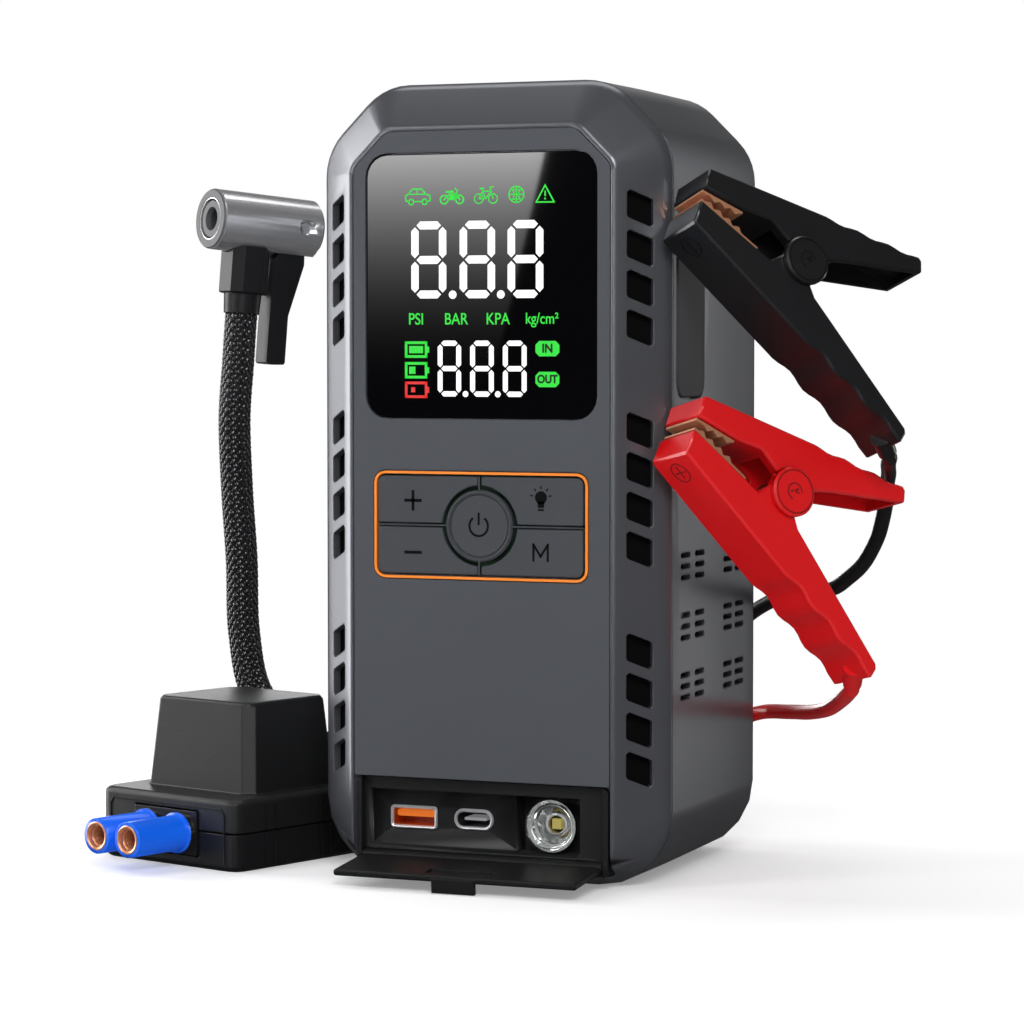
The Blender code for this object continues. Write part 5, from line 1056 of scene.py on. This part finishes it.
class PACK_OT_ports(bpy.types.Operator):
    """Port bay, the two sockets, the work light and both covers"""

    bl_idname = "pack.ports"
    bl_label = "Ports"

    def execute(self, context):
        dressed("port_bay", "black_moulding")
        for name, look in (("usb_a", "port_amber"), ("usb_c", "port_dark")):
            dressed(name + "_shell", look)
            port_rim(name)
        # Both port tongues glow with painted light, though neither is a lamp.
        repaint("usb_a_tongue", glow("port_orange", (0.95, 0.2, 0.012), 0.55))
        repaint("usb_c_tongue", glow("tongue_pale", (0.55, 0.55, 0.58), 0.25))
        dressed("lamp_reflector", "lamp_bowl", smooth=50.0)
        repaint("lamp_led", glow("led_yellow", (0.62, 0.5, 0.12), 0.4))
        dressed("lamp_lens", "lamp_glass", smooth=60.0)
        lamp_rings()
        dressed("port_cover", "cover_black", 0.0003)
        repaint("cover_pin", "spring_steel")
        dressed("jump_cover", "grey_rubber")
        return {"FINISHED"}


# ---- air chuck ----
MOUTH_RING = ((0.0064, -0.0004), (0.0064, 0.00012), (0.0087, 0.00012), (0.009, -0.00025))
MOUTH_LIP = ((0.0034, -0.003), (0.0036, -0.0004), (0.0055, -0.0004), (0.0058, -0.0012))


def headed(place, degrees):
    """A place with its x turned to a heading."""
    return Matrix.Translation(place) @ Matrix.Rotation(math.radians(degrees), 4, "Z")


class PACK_OT_chuck(bpy.types.Operator):
    """Air chuck with its lever, sleeve and hose nut"""

    bl_idname = "pack.chuck"
    bl_label = "Air chuck"

    def execute(self, context):
        dressed("chuck_body", "chuck_metal", smooth=30.0)
        dressed("chuck_seal", "grey_rubber", smooth=45.0)
        dressed("chuck_sleeve", "black_moulding", 0.0004)
        dressed("chuck_lever", "black_moulding", 0.0005)
        repaint("lever_pin", "chrome")
        dressed("hose_nut", "black_moulding")
        tilt = Matrix.Rotation(math.radians(-CHUCK_TILT), 4, "Y")
        mouth = Matrix.Translation((CHUCK_MOUTH, 0.0, 0.0)) @ Matrix.Rotation(QUARTER, 4, "Y")
        face = headed(CHUCK_PLACE, CHUCK_HEADING) @ tilt @ mouth
        turned_piece("chuck_mouth_ring", "mouth_satin", face, 64, MOUTH_RING)
        turned_piece("chuck_mouth_lip", "mouth_satin", face, 56, MOUTH_LIP)
        return {"FINISHED"}


# ---- plug module ----
# Drawings on its face and on its side: x along the wall, y up, raised outwards.
ON_FACE = Matrix(((0, 0, 1, 0), (1, 0, 0, 0), (0, 1, 0, 0), (0, 0, 0, 1)))
ON_SIDE = Matrix(((-1, 0, 0, 0), (0, 0, 1, 0), (0, 1, 0, 0), (0, 0, 0, 1)))
LINE_HEIGHT, RIB_HEIGHT = 0.00025, 0.00035
RIB_PLACES = (-16.0, -12.5, 7.0, 10.5)
RIB_SPANS = ((1.8, 10.2), (11.6, 18.2))
TUBE_LIP = ((0.0041, 0.00012), (0.0038, 0.0003), (0.0033, 0.0001), (0.0031, -0.0008))
THREADS = 4
THREAD_START, THREAD_PITCH = -0.001, 0.0011
THREAD_RADIUS, THREAD_TAPER = 0.0031, 0.0001


def plug_finish():
    """Blue for the two tubes, black for the plate they stand on."""
    made = finish("plug_blue")
    tree, shader = nodes_of(made)
    target = shader.inputs["Base Color"]
    painted = next(link.from_socket for link in tree.links if link.to_socket == target)
    place = add_node(tree, "TexCoord").outputs["Object"]
    heading = headed(MODULE_PLACE, MODULE_HEADING).to_3x3() @ Vector((1.0, 0.0, 0.0))
    inputs = {0: place, 1: heading}
    along = add_node(tree, "VectorMath", inputs, operation="DOT_PRODUCT").outputs["Value"]
    plate = Vector(MODULE_PLACE).dot(heading) + MODULE_LENGTH / 2 + PLUG_PLATE
    beyond = calculated(tree, "GREATER_THAN", along, plate)
    inputs = {"A": SHADOW_BLACK, "Factor": beyond, "B": painted}
    choose = add_node(tree, "Mix", inputs, data_type="RGBA")
    feed(tree, shader, {"Base Color": choose.outputs["Result"]})
    return made


def plug_threads():
    """Copper rings in the mouth of each tube."""
    module = headed(MODULE_PLACE, MODULE_HEADING)
    inverse = module.inverted()
    skin = frame["nodes"]["plug_housing"].data
    reach = max((inverse @ vert.co).x for vert in skin.vertices)
    bm = bmesh.new()
    for side in (-1, 1):
        axis = module @ Matrix.Translation((reach, side * PLUG_SPACING / 2, PLUG_Z))
        axis = axis @ Matrix.Rotation(QUARTER, 4, "Y")
        turned(bm, TUBE_LIP, axis, 40)
        for index in range(THREADS):
            depth = THREAD_START - index * THREAD_PITCH
            radius = THREAD_RADIUS - index * THREAD_TAPER
            crest = (radius - 0.0004, depth - 0.0002)
            turned(bm, [(radius, depth), crest, (radius, depth - 0.0006)], axis, 32)
    piece_from(bm, "plug_threads", "copper", NODE_BODY["plug_housing"], 30.0)


def module_details():
    """Frame line round the plug, and the stepped ribs on the side."""
    module = headed(MODULE_PLACE, MODULE_HEADING)
    face = module @ Matrix.Translation((MODULE_LENGTH / 2, 0.0, 0.0)) @ ON_FACE
    front = Drawing(face, LINE_HEIGHT)
    front.line([(-22.0, 17.6), (22.0, 17.6)], 0.45)
    for side in (-1, 1):
        front.line([(side * 22.0, 17.6), (side * 23.2, 16.0), (side * 23.2, 2.2)], 0.45)
    front.piece("module_face_line", "black_moulding")
    beside = module @ Matrix.Translation((0.0, MODULE_WIDTH / 2, 0.0)) @ ON_SIDE
    ribs = Drawing(beside, RIB_HEIGHT)
    for x in RIB_PLACES:
        for low, high in RIB_SPANS:
            ribs.bar((x, low), (x, high), 0.7)
    ribs.piece("module_ribs", "black_moulding")


class PACK_OT_module(bpy.types.Operator):
    """Plug module, its twin blue plug and its grommet"""

    bl_idname = "pack.module"
    bl_label = "Plug module"

    def execute(self, context):
        dressed("module_base", "black_moulding", 0.0003)
        dressed("module_cover", "textured_black", 0.0004)
        dressed("plug_housing", plug_finish(), smooth=40.0)
        plug_threads()
        module_details()
        for node in ("plug_contact_near", "plug_contact_far"):
            dressed(node, "copper", smooth=25.0)
        dressed("cable_grommet", "grey_rubber")
        return {"FINISHED"}


# ---- clamps ----
CLAMP_BEVEL = 0.00028
COIL_TURNS, COIL_PITCH, COIL_RADIUS, COIL_WIRE = 4, 0.0017, 0.0036, 0.00055
COIL_STEPS, COIL_REST = 28, 0.44
COIL_START = math.radians(-95)
LEG, LEG_DROP = 0.013, 0.0044
PIVOT_MARK = ((-0.9, -1.0), (0.2, 1.3), (0.4, 0.1), (1.2, 0.6))
SIGN_START = (-0.025, -0.05, 0.0)
MARK_HEIGHT, SIGN_HEIGHT = 0.00012, 0.00014


def clamp_frame(color):
    place, turn = CLAMPS[color]
    spin = [Matrix.Rotation(math.radians(angle), 4, axis) for angle, axis in zip(turn, "XYZ")]
    return Matrix.Translation(place) @ spin[2] @ spin[1] @ spin[0]


def clamp_spring(color):
    """The wound spring about the pivot, with a leg into each handle."""
    steps = COIL_TURNS * COIL_STEPS + round(COIL_REST * COIL_STEPS)
    foot = -COIL_PITCH * steps / COIL_STEPS / 2
    coil = []
    for step in range(steps + 1):
        turn = COIL_START + math.tau * step / COIL_STEPS
        rise = foot + COIL_PITCH * step / COIL_STEPS
        coil.append(Vector((COIL_RADIUS * math.cos(turn), COIL_RADIUS * math.sin(turn), rise)))
    tangent = Vector((-math.sin(turn), math.cos(turn), 0.0))
    low_leg = [coil[0] + Vector((LEG * share, -LEG_DROP * share, 0.0)) for share in (1.0, 0.5)]
    high_leg = [coil[-1] + tangent * (LEG * share) for share in (0.5, 1.0)]
    place = clamp_frame(color)
    run = [place @ spot for spot in low_leg + coil + high_leg]
    name, node = "clamp_%s_coil" % color, "clamp_%s_spring" % color
    poly_curve(name, run, COIL_WIRE, WIRE_ROUNDNESS, "spring_steel", node)


def clamp_marks(color):
    """Moulded rings on the pivot heads, and the ringed sign on the nose of the lower arm, coloured
    darker than the clamp as painted shade of engraved lines.
    """
    place = clamp_frame(color)
    look, slot = "mark_" + color, "clamp_" + color
    over = Matrix.Translation((0.0, 0.0, CLAMP_WIDTH / 2 + PIVOT_RISE))
    for end, turn in (("far", 0.0), ("near", math.pi)):
        head = place @ Matrix.Rotation(turn, 4, "X") @ over
        mark = Drawing(head, MARK_HEIGHT)
        mark.ring(0.0, 0.0, PIVOT_HEAD / MM - 0.9, 0.35, 36)
        mark.ring(0.0, 0.0, 2.3, 0.4, 20, 40, 250)
        mark.line(PIVOT_MARK, 0.35)
        mark.piece("clamp_%s_head_%s" % (color, end), look)
    solid = frame["nodes"]["clamp_%s_lower" % color].data
    faces = [tuple(face.vertices) for face in solid.polygons]
    surface = BVHTree.FromPolygons([vert.co for vert in solid.vertices], faces)
    turn = place.to_3x3()
    spot, normal, *_ = surface.ray_cast(place @ Vector(SIGN_START), turn @ Vector((0.0, 1.0, 0.0)))
    if spot is None:
        raise RuntimeError("no face for the sign on clamp_%s_lower" % color)
    long_way = turn @ Vector((1.0, 0.0, 0.0))
    long_way = (long_way - normal * long_way.dot(normal)).normalized()
    turn = Matrix((long_way, normal.cross(long_way), normal)).transposed().to_4x4()
    sign = Drawing(Matrix.Translation(spot) @ turn, SIGN_HEIGHT)
    sign.ring(0.0, 0.0, 3.1, 0.35)
    sign.line([(-2.0, 0.0), (2.0, 0.0)], 0.4)
    if color == "red":
        sign.line([(0.0, -2.0), (0.0, 2.0)], 0.4)
    sign.piece("clamp_%s_sign" % color, look)


class PACK_OT_clamps(bpy.types.Operator):
    """The two spring clamps with their copper jaws"""

    bl_idname = "pack.clamps"
    bl_label = "Clamps"

    def execute(self, context):
        for color in CLAMPS:
            look = "clamp_" + color
            dressed("clamp_%s_lower" % color, look, CLAMP_BEVEL)
            dressed("clamp_%s_upper" % color, look, CLAMP_BEVEL)
            dressed("clamp_%s_pivot" % color, look, smooth=40.0)
            for side in ("lower", "upper"):
                dressed("jaw_%s_%s" % (color, side), "copper")
            clamp_spring(color)
            clamp_marks(color)
        return {"FINISHED"}


SETTINGS = {
    "pack_studio": StudioSettings,
    "pack_finish": FinishSettings,
    "pack_display": DisplaySettings,
}
STEPS = ("studio", "cords", "shells", "display", "keypad", "ports", "chuck", "module", "clamps")


class PACK_PT_panel(bpy.types.Panel):
    """Settings and steps of the pack"""

    bl_idname = "PACK_PT_panel"
    bl_label = "Jump starter pack"
    bl_space_type = "VIEW_3D"
    bl_region_type = "UI"
    bl_category = "Pack"

    def draw(self, context):
        column = self.layout.column()
        for group, kind in SETTINGS.items():
            for name in kind.__annotations__:
                column.prop(getattr(context.scene, group), name)
        for step in STEPS:
            column.operator("pack." + step)


CLASSES = (
    *SETTINGS.values(),
    PACK_OT_studio,
    PACK_OT_cords,
    PACK_OT_shells,
    PACK_OT_display,
    PACK_OT_keypad,
    PACK_OT_ports,
    PACK_OT_chuck,
    PACK_OT_module,
    PACK_OT_clamps,
    PACK_PT_panel,
)


def register():
    for kind in CLASSES:
        bpy.utils.register_class(kind)
    for group, kind in SETTINGS.items():
        setattr(bpy.types.Scene, group, bpy.props.PointerProperty(type=kind))


def unregister():
    for group in SETTINGS:
        delattr(bpy.types.Scene, group)
    for kind in reversed(CLASSES):
        bpy.utils.unregister_class(kind)


def main():
    register()
    for step in STEPS:
        getattr(bpy.ops.pack, step)()


if __name__ == "__main__":
    main()
